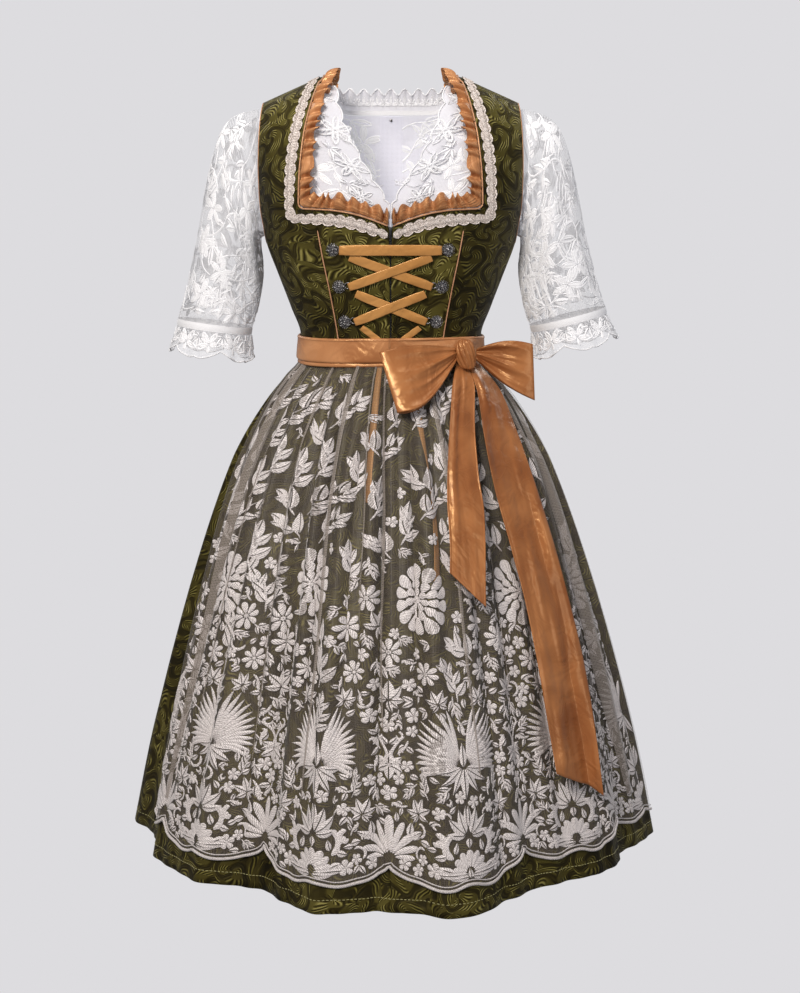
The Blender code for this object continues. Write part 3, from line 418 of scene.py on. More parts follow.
# %% [markdown]
# ## Satin, lace, net, thread, silver and zip
# Satin's floats all run one way, so its gloss is stretched: it is anisotropic, with a fine rib and a
# soft crush that breaks the light into patches. Lace and embroidery are matt thread with a bead of
# light on each stitch. Net is mostly holes, which is drawn by letting part of the light straight
# through between its threads. White lace also glows a little, from the light behind it.


# %% Satin, in the tie's copper and the lacing's caramel
def satin(name, deep, mid, rib):
    """Colour from deep to mid by a soft cloud, a rib across the floats, and stretched highlights."""
    made, tree, shader = finish_of(name, IOR=1.75, Anisotropic=0.6, Specular_Tint=linear("#FFCF94"),
        Coat_Weight=0.08, Coat_Roughness=0.22)
    place = add(tree, "UVMap", uv_map="cloth")
    slub = add(tree, "TexNoise", {"Vector": place, "Scale": 14.0, "Detail": 2.0})
    colour = add(tree, "ValToRGB", {"Fac": slub}, ((0.26, deep), (0.74, mid)))
    rough = add(tree, "MapRange", {"Value": slub, "To Min": 0.30, "To Max": 0.24})
    ribs = add(tree, "TexWave", {"Vector": place, "Scale": WAVE_LENGTH / rib, "Distortion": 1.2,
        "Detail": 1.0}, bands_direction="Y")
    crush = add(tree, "TexNoise", {"Vector": place, "Scale": 24.0, "Detail": 2.0, "Distortion": 1.4})
    soft = add(tree, "Bump", {"Height": crush, "Strength": 0.60, "Distance": 0.0052})
    relief = add(tree, "Bump", {"Height": ribs.outputs["Fac"], "Strength": 0.10, "Distance": 0.0003,
        "Normal": soft})
    plug(tree, shader, {"Base Color": colour, "Roughness": rough, "Normal": relief})
    return made


copper = satin("polyester_satin_copper", "#743D1E", "#A96E42", 0.0008)
# The same copper satin painted paler, as a painted highlight, so that the band, its fold and the ruffle
# look more lit.
copper_painted_highlight = satin("polyester_satin_copper_painted_highlight", "#925832", "#C88F62", 0.0008)
piping_satin = satin("polyester_satin_piping", "#A9795A", "#BE9070", 0.0008)
caramel = satin("satin_ribbon_caramel", "#AC773F", "#BF8A50", 0.0007)


# %% Thread of the embroidery, the braid and the lace
def thread(name, shade, light, stitch, bead, rough, lit=0.0):
    """Stitches laid side by side, a grain of light and dark on them, and a low bead for each.

    The light that reaches a lace through its threads from behind is added as a glow, lit.
    """
    made, tree, shader = finish_of(name, IOR=1.5, Roughness=rough, Sheen_Weight=0.3, Sheen_Roughness=0.4,
        Emission_Color=linear(light), Emission_Strength=lit)
    place = add(tree, "UVMap", uv_map="cloth")
    grain = add(tree, "TexNoise", {"Vector": place, "Scale": 0.8 / stitch, "Detail": 2.0, "Roughness": 0.7})
    laid = add(tree, "TexWave", {"Vector": place, "Scale": WAVE_LENGTH / stitch, "Distortion": 3.0,
        "Detail": 1.0}, bands_direction="DIAGONAL")
    both = add(tree, "Math", {0: laid.outputs["Fac"], 1: 0.35, 2: grain}, **TIMES_PLUS)
    colour = add(tree, "ValToRGB", {"Fac": both}, ((0.38, shade), (0.82, light)))
    relief = add(tree, "Bump", {"Height": both, "Strength": bead, "Distance": 0.0006})
    plug(tree, shader, {"Base Color": colour, "Normal": relief})
    return made


silver_thread = thread("viscose_embroidery_mauve", "#6F6560", "#E6DEDC", 0.0015, 0.9, 0.40)
ivory_thread = thread("cotton_crochet_ivory", "#8F8478", "#E6DBD5", 0.0019, 1.0, 0.75)
white_thread = thread("cotton_lace_white", "#D3D2D6", "#F3F3F5", 0.0014, 0.5, 0.6)
# The back's inner work is the white thread with a glow added: painted light that lifts the shade inside the
# back.
back_thread = thread("cotton_lace_white_back", "#D3D2D6", "#F3F3F5", 0.0014, 0.5, 0.6, 0.22)
olive_thread = thread("sewing_thread_olive", "#77733F", "#A39C6B", 0.0010, 0.4, 0.6)


# %% Net: threads with light between them
def net(name, colour, cover, mesh_width, rough, lit=0.0):
    """Opaque along the edges of small cells, and let through by one minus cover inside them.

    The light that reaches a white lace through its own threads from behind is added as a glow, lit.
    """
    made, tree, shader = finish_of(name, Base_Color=linear(colour), Roughness=rough, IOR=1.45,
        Sheen_Weight=0.3, Emission_Color=linear(colour), Emission_Strength=lit)
    place = add(tree, "UVMap", uv_map="cloth")
    holes = add(tree, "TexVoronoi", {"Vector": place, "Scale": 1.0 / mesh_width, "Randomness": 0.25},
        feature="DISTANCE_TO_EDGE")
    alpha = add(tree, "MapRange", {"Value": holes.outputs["Distance"], "From Min": 0.08, "From Max": 0.22,
        "To Min": min(1.0, cover + 0.35), "To Max": cover - 0.12})
    plug(tree, shader, {"Alpha": alpha})
    return made


taupe_net = net("nylon_tulle_taupe", "#70665D", 0.20, 0.0022, 0.5)
taupe_fold = net("nylon_tulle_taupe_doubled", "#93887F", 0.44, 0.0022, 0.5)
white_net = net("nylon_net_white", "#DDDDE0", 0.22, 0.0022, 0.6, 0.10)
fine_lace = net("lace_ground_white", "#D3D2D8", 0.80, 0.0018, 0.6, 0.02)
# The back's lace ground is the front's, painted paler and given a stronger glow: painted light that lifts
# the shade inside the back.
back_lace = net("lace_ground_white_back", "#E2E1EA", 0.80, 0.0018, 0.6, 0.24)


# %% Darkened silver and the zip's black
def dark_silver():
    """Cast silver, blackened and rubbed: darker and brighter in fine patches that follow a noise."""
    made, tree, shader = finish_of("oxidised_silver_cast", Metallic=1.0)
    place = add(tree, "TexCoord").outputs["Object"]
    wear = add(tree, "TexNoise", {"Vector": place, "Scale": 600.0, "Detail": 3.0})
    colour = add(tree, "ValToRGB", {"Fac": wear}, ((0.38, "#242226"), (0.66, "#B9B6B6")))
    rough = add(tree, "MapRange", {"Value": wear, "To Min": 0.25, "To Max": 0.5})
    plug(tree, shader, {"Base Color": colour, "Roughness": rough})
    return made


def zip_black():
    """Woven nylon tape and moulded teeth, near black with a faint rib."""
    made, tree, shader = finish_of("nylon_zip_black", Roughness=0.5)
    place = add(tree, "TexCoord").outputs["Object"]
    rib = add(tree, "TexWave", {"Vector": place, "Scale": 320.0}, bands_direction="Z")
    colour = add(tree, "ValToRGB", {"Fac": rib.outputs["Fac"]}, ((0.2, "#0C0C0D"), (0.8, "#242427")))
    plug(tree, shader, {"Base Color": colour})
    return made


aged_silver, zip_nylon = dark_silver(), zip_black()
print("materials", len(bpy.data.materials))

# %% [markdown]
# ## Camera, floor and light
# The dress is looked at from a little above its middle, with a long lens, in a pale studio: a floor
# that curves up into a wall, a key light at the front left, a weaker one at the front right, one
# above and two behind.

# %% The camera
eye = bpy.data.cameras.new("camera")
eye.lens, eye.sensor_width = 65.0, 36.0
camera = bpy.data.objects.new("camera", eye)
camera.location = (0.0127, -2.53, -0.194)
camera.rotation_euler = (math.radians(90.0 - 8.7), 0.0, 0.0)
bpy.context.scene.collection.objects.link(camera)
bpy.context.scene.camera = camera

# %% The studio
FLOOR = -1.62
STUDIO_AIR = linear("#DDDCDF")
SEEN_BY_CLOTH = 0.38  # how much of the studio's air lights the dress


def studio_sweep():
    """A profile, flat, then a quarter circle of 1 m, then upright, drawn out 14 m wide."""
    turn = linspace(0.0, pi / 2, 17)
    y = concatenate(([-7.0], 4.0 + sin(turn), [5.0]))
    z = concatenate(([FLOOR], FLOOR + 1.0 - cos(turn), [4.5]))
    x = linspace(-7.0, 7.0, 3)
    return stack(np.broadcast_arrays(x[None, :], y[:, None], z[:, None]), axis=-1)[:, ::-1]


def even_light(tree):
    """A strength of 1 where the camera looks straight at it, and SEEN_BY_CLOTH for all other light."""
    rays = add(tree, "LightPath")
    return add(tree, "MapRange", {"Value": rays.outputs["Is Camera Ray"], "To Min": SEEN_BY_CLOTH,
        "To Max": 1.0})


paper, paper_tree, paper_shader = finish_of("paper_backdrop", Base_Color=linear("#000000"), Roughness=1.0,
    Specular_IOR_Level=0.0, Emission_Color=STUDIO_AIR)
plug(paper_tree, paper_shader, {"Emission Strength": even_light(paper_tree)})
sweep = studio_sweep()
backdrop = mesh_piece("backdrop", sweep.reshape(-1, 3), grid_faces(*sweep.shape[:2]),
    grid_lengths(sweep).reshape(-1, 2), paper, ride=False)

for name, place, size, power, tint in (("key", (-1.1, -3.0, 1.6), 1.0, 120.0, "#FFF9F2"),
        ("fill", (2.2, -2.8, 0.3), 1.6, 20.0, "#F6F8FF"),
        ("top", (0.1, -0.6, 2.2), 1.4, 20.0, "#FFFFFF"),
        ("back_left", (-2.0, 2.4, 1.2), 1.4, 20.0, "#FFFFFF"),
        ("back_right", (2.0, 2.4, 1.2), 1.4, 20.0, "#FFFFFF")):
    light = bpy.data.lights.new(name, "AREA")
    light.size, light.energy, light.color = size, power, linear(tint)[:3]
    lamp = bpy.data.objects.new(name, light)
    lamp.location = place
    aim = unit(array(place) - array((0.0, 0.0, -0.5)))
    lamp.rotation_euler = (math.acos(aim[2]), 0.0, math.atan2(aim[1], aim[0]) + pi / 2)
    bpy.context.scene.collection.objects.link(lamp)
bpy.context.scene.view_settings.view_transform = "Standard"
world = bpy.data.worlds.new("studio_air")
world.use_nodes = True
world_tree = world.node_tree
plug(world_tree, world_tree.nodes["Background"], {"Color": STUDIO_AIR, "Strength": even_light(world_tree)})
bpy.context.scene.world = world
print("camera", tuple(camera.location), "floor", FLOOR)

# %% [markdown]
# ## The skirt
# Four panels are gathered into the waist seam and fall in soft folds to the hem. A level section is
# an ellipse whose half width and depth are read down the SKIRT table. On that ride sixteen folds,
# each a smooth hump in the angle, and the gathers, a wave of 56 periods that is deepest at the waist
# and dies out over the hips. Small folds, up to 9 mm deep below the hips, run down between them. The
# CAD takes the same rows straight from one to the next and leaves the small folds out; here the curve
# runs smoothly through them.

# %% Sizes of the skirt
SKIRT_COLUMNS = 112  # two for each gather
# height, half width, half depth, gather, fold
SKIRT = (
    (-0.3684, 0.1255, 0.0925, 0.0011, 0.00),
    (-0.3872, 0.1278, 0.0948, 0.0013, 0.00),
    (-0.4080, 0.1445, 0.1115, 0.0028, 0.00),
    (-0.4420, 0.1680, 0.1335, 0.0034, 0.05),
    (-0.5000, 0.1970, 0.1625, 0.0028, 0.18),
    (-0.5900, 0.2290, 0.2010, 0.0018, 0.34),
    (-0.7000, 0.2585, 0.2400, 0.0010, 0.56),
    (-0.8200, 0.2885, 0.2765, 0.0004, 0.74),
    (-0.9400, 0.3150, 0.3100, 0.0000, 0.89),
    (-1.0650, 0.3380, 0.3370, 0.0000, 1.00))
# angle, outward at the hem, spread
FOLDS = (
    (-176.0, 0.020, 10.0), (-147.0, 0.026, 9.0), (-120.0, 0.018, 8.0), (-94.0, 0.040, 9.0),
    (-64.0, 0.020, 9.0), (-49.0, 0.016, 6.0), (-33.0, -0.020, 7.0), (-14.0, 0.028, 8.0),
    (0.0, 0.006, 4.0), (14.0, 0.042, 9.0), (37.0, -0.010, 7.0), (58.0, 0.018, 8.0),
    (84.0, 0.040, 11.0), (112.0, 0.014, 8.0), (134.0, 0.027, 9.0), (158.0, 0.020, 7.0))
SKIRT_WALL, APRON_GAP, SEAM = 0.0014, 0.0030, 0.0003
BELT_TOP, BELT_BOTTOM = -0.3510, -0.3874
HEM = SKIRT[-1][0]


# %% The skirt's surface
RIPPLE = 0.0060  # metres, for the first of the two waves that make the small folds
RIPPLE_TOP, RIPPLE_GROWS = -0.42, 0.10  # the height where they start and the drop to their full depth
RIPPLE_FOOT, RIPPLE_FADES = -1.06, 0.35  # the height where they are shallow again, and the rise above it


def ripple_at(height):
    """Depth of the small folds: none at the waist, full from the hips, and a third of it at the hem."""
    grown = clip((RIPPLE_TOP - height) / RIPPLE_GROWS, 0.0, 1.0)
    faded = clip((height - RIPPLE_FOOT) / RIPPLE_FADES, 0.0, 1.0)
    return RIPPLE * grown * (0.30 + 0.70 * faded)


def folds_at(angle):
    """The big folds' reach at an angle in degrees, as the sum of one smooth hump for each."""
    return sum(outward * exp(-(((angle - middle + 180.0) % 360.0 - 180.0) / spread) ** 2)
        for middle, outward, spread in FOLDS)


def skirt_size(column, height):
    """Half width and depth at a column and height, with the folds and gathers added to both."""
    table = [(-row[0], *row[1:]) for row in SKIRT]
    a, b, gather, fold = (smooth(table, k, -height) for k in (1, 2, 3, 4))
    angle = column * 360.0 / SKIRT_COLUMNS
    ripple = ripple_at(height) * (sin(angle * 0.62 + 1.9 * sin(angle * 0.045))
        + 0.5 * sin(angle * 1.13 + 2.4 * sin(angle * 0.07 + 1.0)))
    extra = fold * folds_at(angle) + gather * cos(pi * column) + ripple
    return a + extra, b + extra


def skirt_points(column, height, lift=0.0):
    """Points on the skirt at columns (0 is the front, 112 go round) and heights, moved out by lift."""
    column, height = np.broadcast_arrays(asarray(column, float), asarray(height, float))

    def place(column, height):
        angle = radians(column * 360.0 / SKIRT_COLUMNS)
        a, b = skirt_size(column, height)
        return stack((a * sin(angle), -b * cos(angle), height), axis=-1)

    along = place(column + 0.05, height) - place(column - 0.05, height)
    down = place(column, height - 0.0005) - place(column, height + 0.0005)
    return place(column, height) + unit(np.cross(down, along)) * asarray(lift)[..., None]


hem_line = travelled(skirt_points(arange(0.0, 112.5, 0.5), HEM))
print("hem length, m:", round(hem_line[-1], 3))

# %% Four panels and the hem's stitching
skirt_heights = -concatenate((linspace(-SKIRT[0][0], 0.43, 22, endpoint=False), linspace(0.43, -HEM, 80)))
quarter = SKIRT_COLUMNS // 4
for name, first in (("skirt_front_right", 0), ("skirt_back_right", quarter),
        ("skirt_back_left", -2 * quarter), ("skirt_front_left", -quarter)):
    across = linspace(first, first + quarter, 6 * quarter + 1)
    panel = cloth(name, skirt_points(across[None, :], skirt_heights[:, None]), olive, SKIRT_WALL)
print("skirt panels", 4)

# %% [markdown]
# ## Embroidery, lace and braid, stitch shape by stitch shape
# Embroidered leaves, petals and stems are all one thing: a strip of satin stitch that is widest
# somewhere along its length and bends as it goes. So one formula draws them all. A shape has a
# start, a heading, a length, a width, a bend and a kind; its centre line is the running sum of short
# steps whose heading turns by the bend, and its edges stand off that line by half the width times
# the kind's profile. A leaf is worked in two halves with a bare vein between them. Motifs are lists
# of such shapes in metres, and each motif is set down on a cloth by a place, a turn and a size.

# %% One shape: its profile, its centre line and its strip
LEAF, PETAL, STEM, FEATHER = 0, 1, 2, 3
STATIONS = 9


def profiles(share):
    """Half width along a shape, for each kind: sine humps to a power, with the tip round or sharp."""
    leaf = sin(pi * share ** 0.80) ** 0.85 * (1.0 - 0.25 * share)
    petal = share ** 0.55 * (1.0 - share ** 5) ** 0.6
    stem = minimum(1.0, minimum(7.0 * share + 0.3, 6.0 * (1.0 - share) + 0.25))
    feather = sin(pi * share ** 1.25) ** 0.75
    return stack((leaf, petal, stem, feather))


def shape_strips(shapes):
    """Offsets in metres (right, up) and rise (0 at an edge, 1 at the crest) of each shape's strip.

    A row of shapes is: x, y, heading in degrees, length, width, bend in degrees, kind.
    """
    x, y, heading, length, width, bend, kind = shapes.T
    share = 0.5 - 0.5 * cos(linspace(0.0, pi, STATIONS))
    middle = (share[1:] + share[:-1]) / 2.0
    turned = radians(heading[:, None] + bend[:, None] * middle)
    steps = length[:, None] * np.diff(share)
    line_x = x[:, None] + np.cumsum(np.pad(steps * cos(turned), ((0, 0), (1, 0))), axis=1)
    line_y = y[:, None] + np.cumsum(np.pad(steps * sin(turned), ((0, 0), (1, 0))), axis=1)
    facing = radians(heading[:, None] + bend[:, None] * share)
    half = 0.5 * width[:, None] * profiles(share)[kind.astype(int)]
    vein = where(kind == LEAF, minimum(0.0006, 0.14 * width), 0.0)[:, None]
    offsets = stack((half, minimum(vein, 0.6 * half), -minimum(vein, 0.6 * half), -half), axis=2)
    points = stack((line_x[..., None] - sin(facing)[..., None] * offsets,
        line_y[..., None] + cos(facing)[..., None] * offsets), axis=-1)
    rise = broadcast_to(array((0.0, 1.0, 1.0, 0.0)), offsets.shape)
    run = broadcast_to((length[:, None] * share)[..., None], offsets.shape)
    return points, rise, stack((offsets + x[:, None, None] * 7.0, run + y[:, None, None] * 7.0), -1)


STRIP = (arange(STATIONS - 1)[:, None, None] * 4 + array((0, 2))[None, :, None]
    + array((0, 1, 5, 4))).reshape(-1, 4)


# %% Motifs set down on a cloth
def shape(x, y, heading, length, width, bend=0.0, kind=LEAF):
    """One shape as a row, with millimetres and degrees turned to metres and degrees."""
    return (x / 1000.0, y / 1000.0, heading, length / 1000.0, width / 1000.0, bend, kind)


def ring_of(count, inner, length, width, kind=PETAL, start=90.0, span=360.0):
    """Shapes that point outwards from a circle of radius inner, spread over span degrees (mm)."""
    steps = count if span >= 360.0 else max(count - 1, 1)
    headings = start + (arange(count) - (0.0 if span >= 360.0 else steps / 2.0)) * span / steps
    turn = radians(headings)
    return stack((inner * cos(turn) / 1000.0, inner * sin(turn) / 1000.0, headings,
        full(count, length / 1000.0), full(count, width / 1000.0),
        np.zeros(count), full(count, kind)), axis=1)


def together(*parts):
    """One motif from single shapes and from groups of them."""
    return concatenate([np.atleast_2d(part) for part in parts])


def mirror_image(shapes):
    """The shapes as they are on the other side of the motif's middle."""
    other = shapes * array((-1.0, 1.0, 1.0, 1.0, 1.0, -1.0, 1.0))
    other[:, 2] = 180.0 - shapes[:, 2]
    return other


def both_halves(*parts):
    """A motif with its mirror image."""
    return together(together(*parts), mirror_image(together(*parts)))


def moved(shapes, x, y, turn=0.0, size=1.0):
    """Shapes turned by degrees, sized, and moved by millimetres."""
    shapes = array(shapes, float)
    c, s = math.cos(math.radians(turn)), math.sin(math.radians(turn))
    made = shapes.copy()
    made[:, 0] = (shapes[:, 0] * c - shapes[:, 1] * s) * size + x / 1000.0
    made[:, 1] = (shapes[:, 0] * s + shapes[:, 1] * c) * size + y / 1000.0
    made[:, 2] += turn
    made[:, 3:5] *= size
    return made


def sample(grid, row, column):
    """A grid read between its points, straight in both directions."""
    i = clip(np.floor(row).astype(int), 0, grid.shape[0] - 2)
    j = clip(np.floor(column).astype(int), 0, grid.shape[1] - 2)
    u, v = (row - i)[..., None], (column - j)[..., None]
    return ((grid[i, j] * (1 - v) + grid[i, j + 1] * v) * (1 - u)
        + (grid[i + 1, j] * (1 - v) + grid[i + 1, j + 1] * v) * u)


def sew(name, ground, placed, finish, lift=(0.0002, 0.0009), keep=None):
    """Motifs sewn on a grid of cloth points: each placed entry is (shapes, row, column, turn, size).

    A motif's millimetres become rows and columns by the grid's own spacing where the motif sits.
    """
    normals = grid_normals(ground)
    tall = norm(gradient(ground, axis=0), axis=-1)[..., None]
    step = norm(gradient(ground, axis=1), axis=-1)
    wide = stack([np.roll(np.pad(step, ((0, 0), (8, 8)), mode="edge"), k, axis=1)[:, 8:-8]
        for k in range(-8, 9)]).mean(axis=0)[..., None]
    all_points, all_uv = [], []
    for shapes, row, column, turn, size in placed:
        points, rise, uv = shape_strips(moved(shapes, 0.0, 0.0, turn, size))
        spot = array(float(row)), array(float(column))
        rows = row - points[..., 1] / sample(tall, *spot)
        columns = column + points[..., 0] / sample(wide, *spot)
        inside = ((rows > 0) & (rows < ground.shape[0] - 1) & (columns > 0)
            & (columns < ground.shape[1] - 1)).all(axis=(1, 2))
        if keep is not None:
            inside &= keep(rows, columns).all(axis=(1, 2))
        rows, columns, rise, uv = (v[inside] for v in (rows, columns, rise, uv))
        high = lift[0] + (lift[1] - lift[0]) * rise
        all_points.append(sample(ground, rows, columns) + sample(normals, rows, columns) * high[..., None])
        all_uv.append(uv + 0.013 * len(all_uv))
    points = concatenate(all_points)
    uv = concatenate(all_uv)
    faces = (arange(len(points))[:, None, None] * STATIONS * 4 + STRIP).reshape(-1, 4)
    print(name, "shapes", len(points), "triangles", 2 * len(faces))
    return mesh_piece(name, points.reshape(-1, 3), faces, uv.reshape(-1, 2), finish)


# %% [markdown]
# ## The apron
# The apron is silver-mauve embroidery on a taupe tulle, worked in a repeat as wide as one scallop
# and mirrored about the scallop's middle. Single sprigs near the waist grow denser downwards: starry
# flowers, fans with feathery wings, a border of scrolls and half rosettes, and a corded edge. The
# tulle hangs clear of the skirt, which shows through it. Where it is folded double it looks paler.

# %% Sizes of the apron
APRON_FROM, APRON_TO = -25, 26  # skirt columns that it covers, counted from the front centre
APRON_HEM = -1.035
PITCH_COLUMNS = 10.0  # skirt columns from one notch to the next
SCALLOP_DEPTH = 0.027
APRON_TOP = BELT_BOTTOM - 0.0030
APRON_LIFT = SKIRT_WALL + APRON_GAP
# column, foot, width; the last four are the veils, where the tulle is doubled at its sides
PLEATS = ((-17.3, -0.86, 0.0050), (-11.6, -0.90, 0.0060), (-6.1, -0.93, 0.0045), (-2.4, -0.72, 0.0035),
    (-0.4, -0.84, 0.0050), (6.1, -0.90, 0.0050), (10.5, -0.80, 0.0040), (16.6, -0.88, 0.0060),
    (-19.9, -0.98, 0.0180), (-22.7, -1.01, 0.0300), (20.3, -0.96, 0.0160), (23.0, -0.99, 0.0300))


def apron_edge(column):
    """Height of the hem: notches between scallops, and a small rise in each scallop's middle."""
    phase = (column / PITCH_COLUMNS) % 1.0
    big = (1.0 - np.abs(sin(pi * phase)) ** 0.55) * SCALLOP_DEPTH
    return APRON_HEM + big + 0.008 * exp(-((phase - 0.5) / 0.09) ** 2)


# %% The tulle, its doubled pleats and its corded edge
apron_columns = linspace(APRON_FROM, APRON_TO, 8 * (APRON_TO - APRON_FROM) + 1)
apron_share = steps_down(131)
apron_heights = APRON_TOP + (apron_edge(apron_columns)[None, :] - APRON_TOP) * apron_share
apron = cloth("apron_tulle", skirt_points(apron_columns[None, :], apron_heights, APRON_LIFT), taupe_net,
    nodes=("apron_lace",))

pleat_rows = linspace(0.0, 1.0, 90)
for number, (column, foot, width) in enumerate(PLEATS):
    heights = APRON_TOP + (foot - APRON_TOP) * pleat_rows
    spread = steps_along(7, -0.5, 0.5) * (width / 0.016) * (1.0 - 0.7 * pleat_rows[:, None] ** 3)
    wander = 0.10 * sin(9.0 * pleat_rows + number)[:, None]
    lift = APRON_LIFT + 0.0011 + 0.0007 * (1.0 - 4.0 * linspace(-0.5, 0.5, 7) ** 2)[None, :]
    cloth(f"apron_pleat_{number}", skirt_points(column + wander + spread, heights[:, None], lift),
        taupe_fold)

edge_columns = linspace(APRON_FROM + 0.02, APRON_TO - 0.02, 1400)
level = skirt_points(edge_columns, apron_edge(edge_columns))
run = np.cumsum(np.pad(norm(np.diff(level[:, :2], axis=0), axis=1), (1, 0)))
slope = unit(stack((gradient(run), gradient(apron_edge(edge_columns))), axis=-1))
for name, inset, radius, out in (("apron_edge_cord", 0.0016, 0.0021, 0.0004),
        ("apron_inner_cord", 0.0070, 0.0008, 0.0003)):
    columns = edge_columns - slope[:, 1] * inset / gradient(run) * gradient(edge_columns)
    heights = apron_edge(edge_columns) + slope[:, 0] * inset
    cord_piece(name, skirt_points(columns, heights, APRON_LIFT + out), radius, silver_thread, 6)
print("apron from", APRON_TOP, "to", APRON_HEM)

# %% The hem's stitching
hem_ground = skirt_points(arange(-56.0, 56.3, 0.25)[None, :],
    steps_down(9, HEM + 0.027, HEM + 0.007), SKIRT_WALL)
hem_stitch = together(shape(-1.7, 0, 0, 3.6, 1.0, 0, STEM))
sew("skirt_hem_stitching", hem_ground, [(hem_stitch, 4.0, 4.0 + k, 0.0, 1.0) for k in range(440)],
    olive_thread, lift=(0.0000, 0.0005))

# %% [markdown]
# ## The apron's motifs
# These are ordinary folk motifs: a daisy, a bell of pointed petals, a round many-petalled flower, a
# sprig, a leafy cluster, a fan, a scroll, a half rosette and a palm. All sizes are in millimetres.

# %% Flowers, sprigs, fans and scrolls
daisy = together(ring_of(8, 3.2, 15.0, 7.6), ring_of(6, 0.0, 3.0, 2.6))
small_flower = together(ring_of(5, 1.5, 9.0, 7.8), ring_of(4, 0.0, 2.0, 2.0))
star_flower = together(ring_of(6, 2.0, 19.0, 9.5, LEAF), ring_of(5, 0.0, 2.6, 2.4))
round_flower = together(ring_of(14, 21.0, 21.0, 14.2), ring_of(11, 11.5, 13.0, 9.6),
    ring_of(7, 3.6, 10.0, 7.6), ring_of(6, 0.3, 4.4, 3.4))
curl = together(shape(0, 0, 70, 34, 3.4, -190, STEM), shape(17.5, 25.0, -120, 20, 3.0, -250, STEM),
    shape(9, 19, 120, 13, 6, -40))


def sprig(pairs, spacing, leaf, width, bend=0.0):
    """A stem with pairs of leaves that grow smaller towards its tip leaf."""
    rows = [shape(0, 0, 90, pairs * spacing + 4.0, 1.8, bend, STEM)]
    for k in range(pairs):
        heading = 90.0 + bend * (k + 0.5) / pairs
        turn = math.radians(heading)
        x, y = (k + 0.6) * spacing * math.cos(turn), (k + 0.6) * spacing * math.sin(turn)
        size = leaf * (1.0 - 0.35 * k / pairs)
        rows.append(shape(x + 0.8, y, heading - 48.0, size, width * size / leaf, 22.0))
        rows.append(shape(x - 0.8, y + 0.35 * spacing, heading + 48.0, size, width * size / leaf, -22.0))
    turn = math.radians(90.0 + bend * 0.9)
    rows.append(shape(pairs * spacing * math.cos(turn), pairs * spacing * math.sin(turn), 90.0 + bend,
        leaf * 0.9, width * 0.9))
    return array(rows)


cluster = together(shape(0, 0, 90, 27, 11), shape(2, 1, 40, 24, 10, 18), shape(-2, 1, 140, 24, 10, -18),
    shape(3, -1, -8, 19, 8, 12), shape(-3, -1, 188, 19, 8, -12),
    shape(0, -2, -90, 17, 5.5, 25), shape(1, -2, -55, 15, 6, 20))
drooping = together(shape(0, 0, -90, 46, 2.4, 14, STEM), shape(0, -8, -40, 20, 8.5, 25),
    shape(0, -14, -140, 20, 8.5, -25), shape(1, -24, -48, 20, 8.0, 20),
    shape(1, -30, -134, 20, 8.0, -20), shape(3, -40, -84, 22, 8.5, 10),
    shape(0, 2, 70, 18, 9), shape(0, 2, 118, 18, 9), shape(-1, 0, 165, 15, 7, 15),
    shape(1, 0, 20, 15, 7, -15))


def wing(barbs, first, last, longest, shortest, width, bend):
    """Feather barbs side by side, that turn from the first heading to the last and grow shorter."""
    share = linspace(0.0, 1.0, barbs)
    heading = first + (last - first) * share
    turn = radians(heading)
    return stack((0.004 + 0.004 * cos(turn), 0.004 * sin(turn) - 0.004 * share, heading,
        (longest + (shortest - longest) * share + 3.0 * (arange(barbs) % 2)) / 1000.0,
        full(barbs, width / 1000.0), bend * (0.6 + 0.4 * share), full(barbs, float(FEATHER))), axis=1)


wings = together(wing(12, 84.0, -4.0, 66.0, 46.0, 4.5, -30.0), wing(5, 80.0, 30.0, 36.0, 30.0, 4.2, -16.0))
fan = together(both_halves(wings),
    both_halves(shape(4, -7, -20, 30, 8.0, 26), shape(3, -8, -44, 33, 8.6, 20),
    shape(2, -9, -68, 34, 8.0, 10)), shape(0, -9, -90, 38, 8.6), shape(0, -6, 90, 30, 7.5))
fork = both_halves(shape(1, 0, 84, 40, 3.2, -60, STEM), shape(13, 37, 20, 26, 3.2, -300, STEM),
    shape(1, 20, 40, 15, 6.5, 20), shape(2, -2, -40, 20, 8, 25))
scroll = together(shape(0, 0, 15, 44, 7.6, 150, STEM), shape(24, 31, 160, 30, 6.6, 250, STEM),
    shape(13, 19, -60, 13, 5.6, 200, STEM), shape(10, 3, -30, 16, 8, 30),
    shape(32, 12, 20, 17, 8, -20), shape(-2, 6, 120, 16, 8, -30))
rosette = together(ring_of(7, 5.0, 22.0, 10.6, PETAL, 90.0, 172.0),
    both_halves(shape(4, -4, -4, 46, 8.5, 14), shape(2, -7, -10, 30, 7, 16), shape(24, -1, 25, 22, 8, -10)))
bell = together(both_halves(shape(3.5, 0, 66, 32, 11.0, 16), shape(5, -1, 32, 31, 11.0, 22),
    shape(5, -3, -4, 27, 9.0, 26)), both_halves(shape(1.2, 8, 84, 27, 6.0, 10)), shape(0, -7, -90, 13, 7))
palm = together(both_halves(shape(2, 2, 74, 46, 11.0, -14, PETAL), shape(4, 1, 52, 40, 10.6, -20, PETAL),
    shape(6, -1, 30, 34, 10.0, -26, PETAL), shape(7, -4, 6, 27, 8.0, -20, PETAL)),
    shape(0, 4, 90, 50, 11.5, 0, PETAL), shape(0, 0, -90, 16, 9))
branch = sprig(3, 15.0, 22.0, 10.0, 22.0)
long_sprig = sprig(4, 16.0, 25.0, 10.6, -28.0)
acanthus = sprig(2, 17.0, 30.0, 12.6, 24.0)
twin_leaf = together(shape(0, -6, 50, 19, 7.6, 14), shape(0, -6, 130, 19, 7.6, -14))

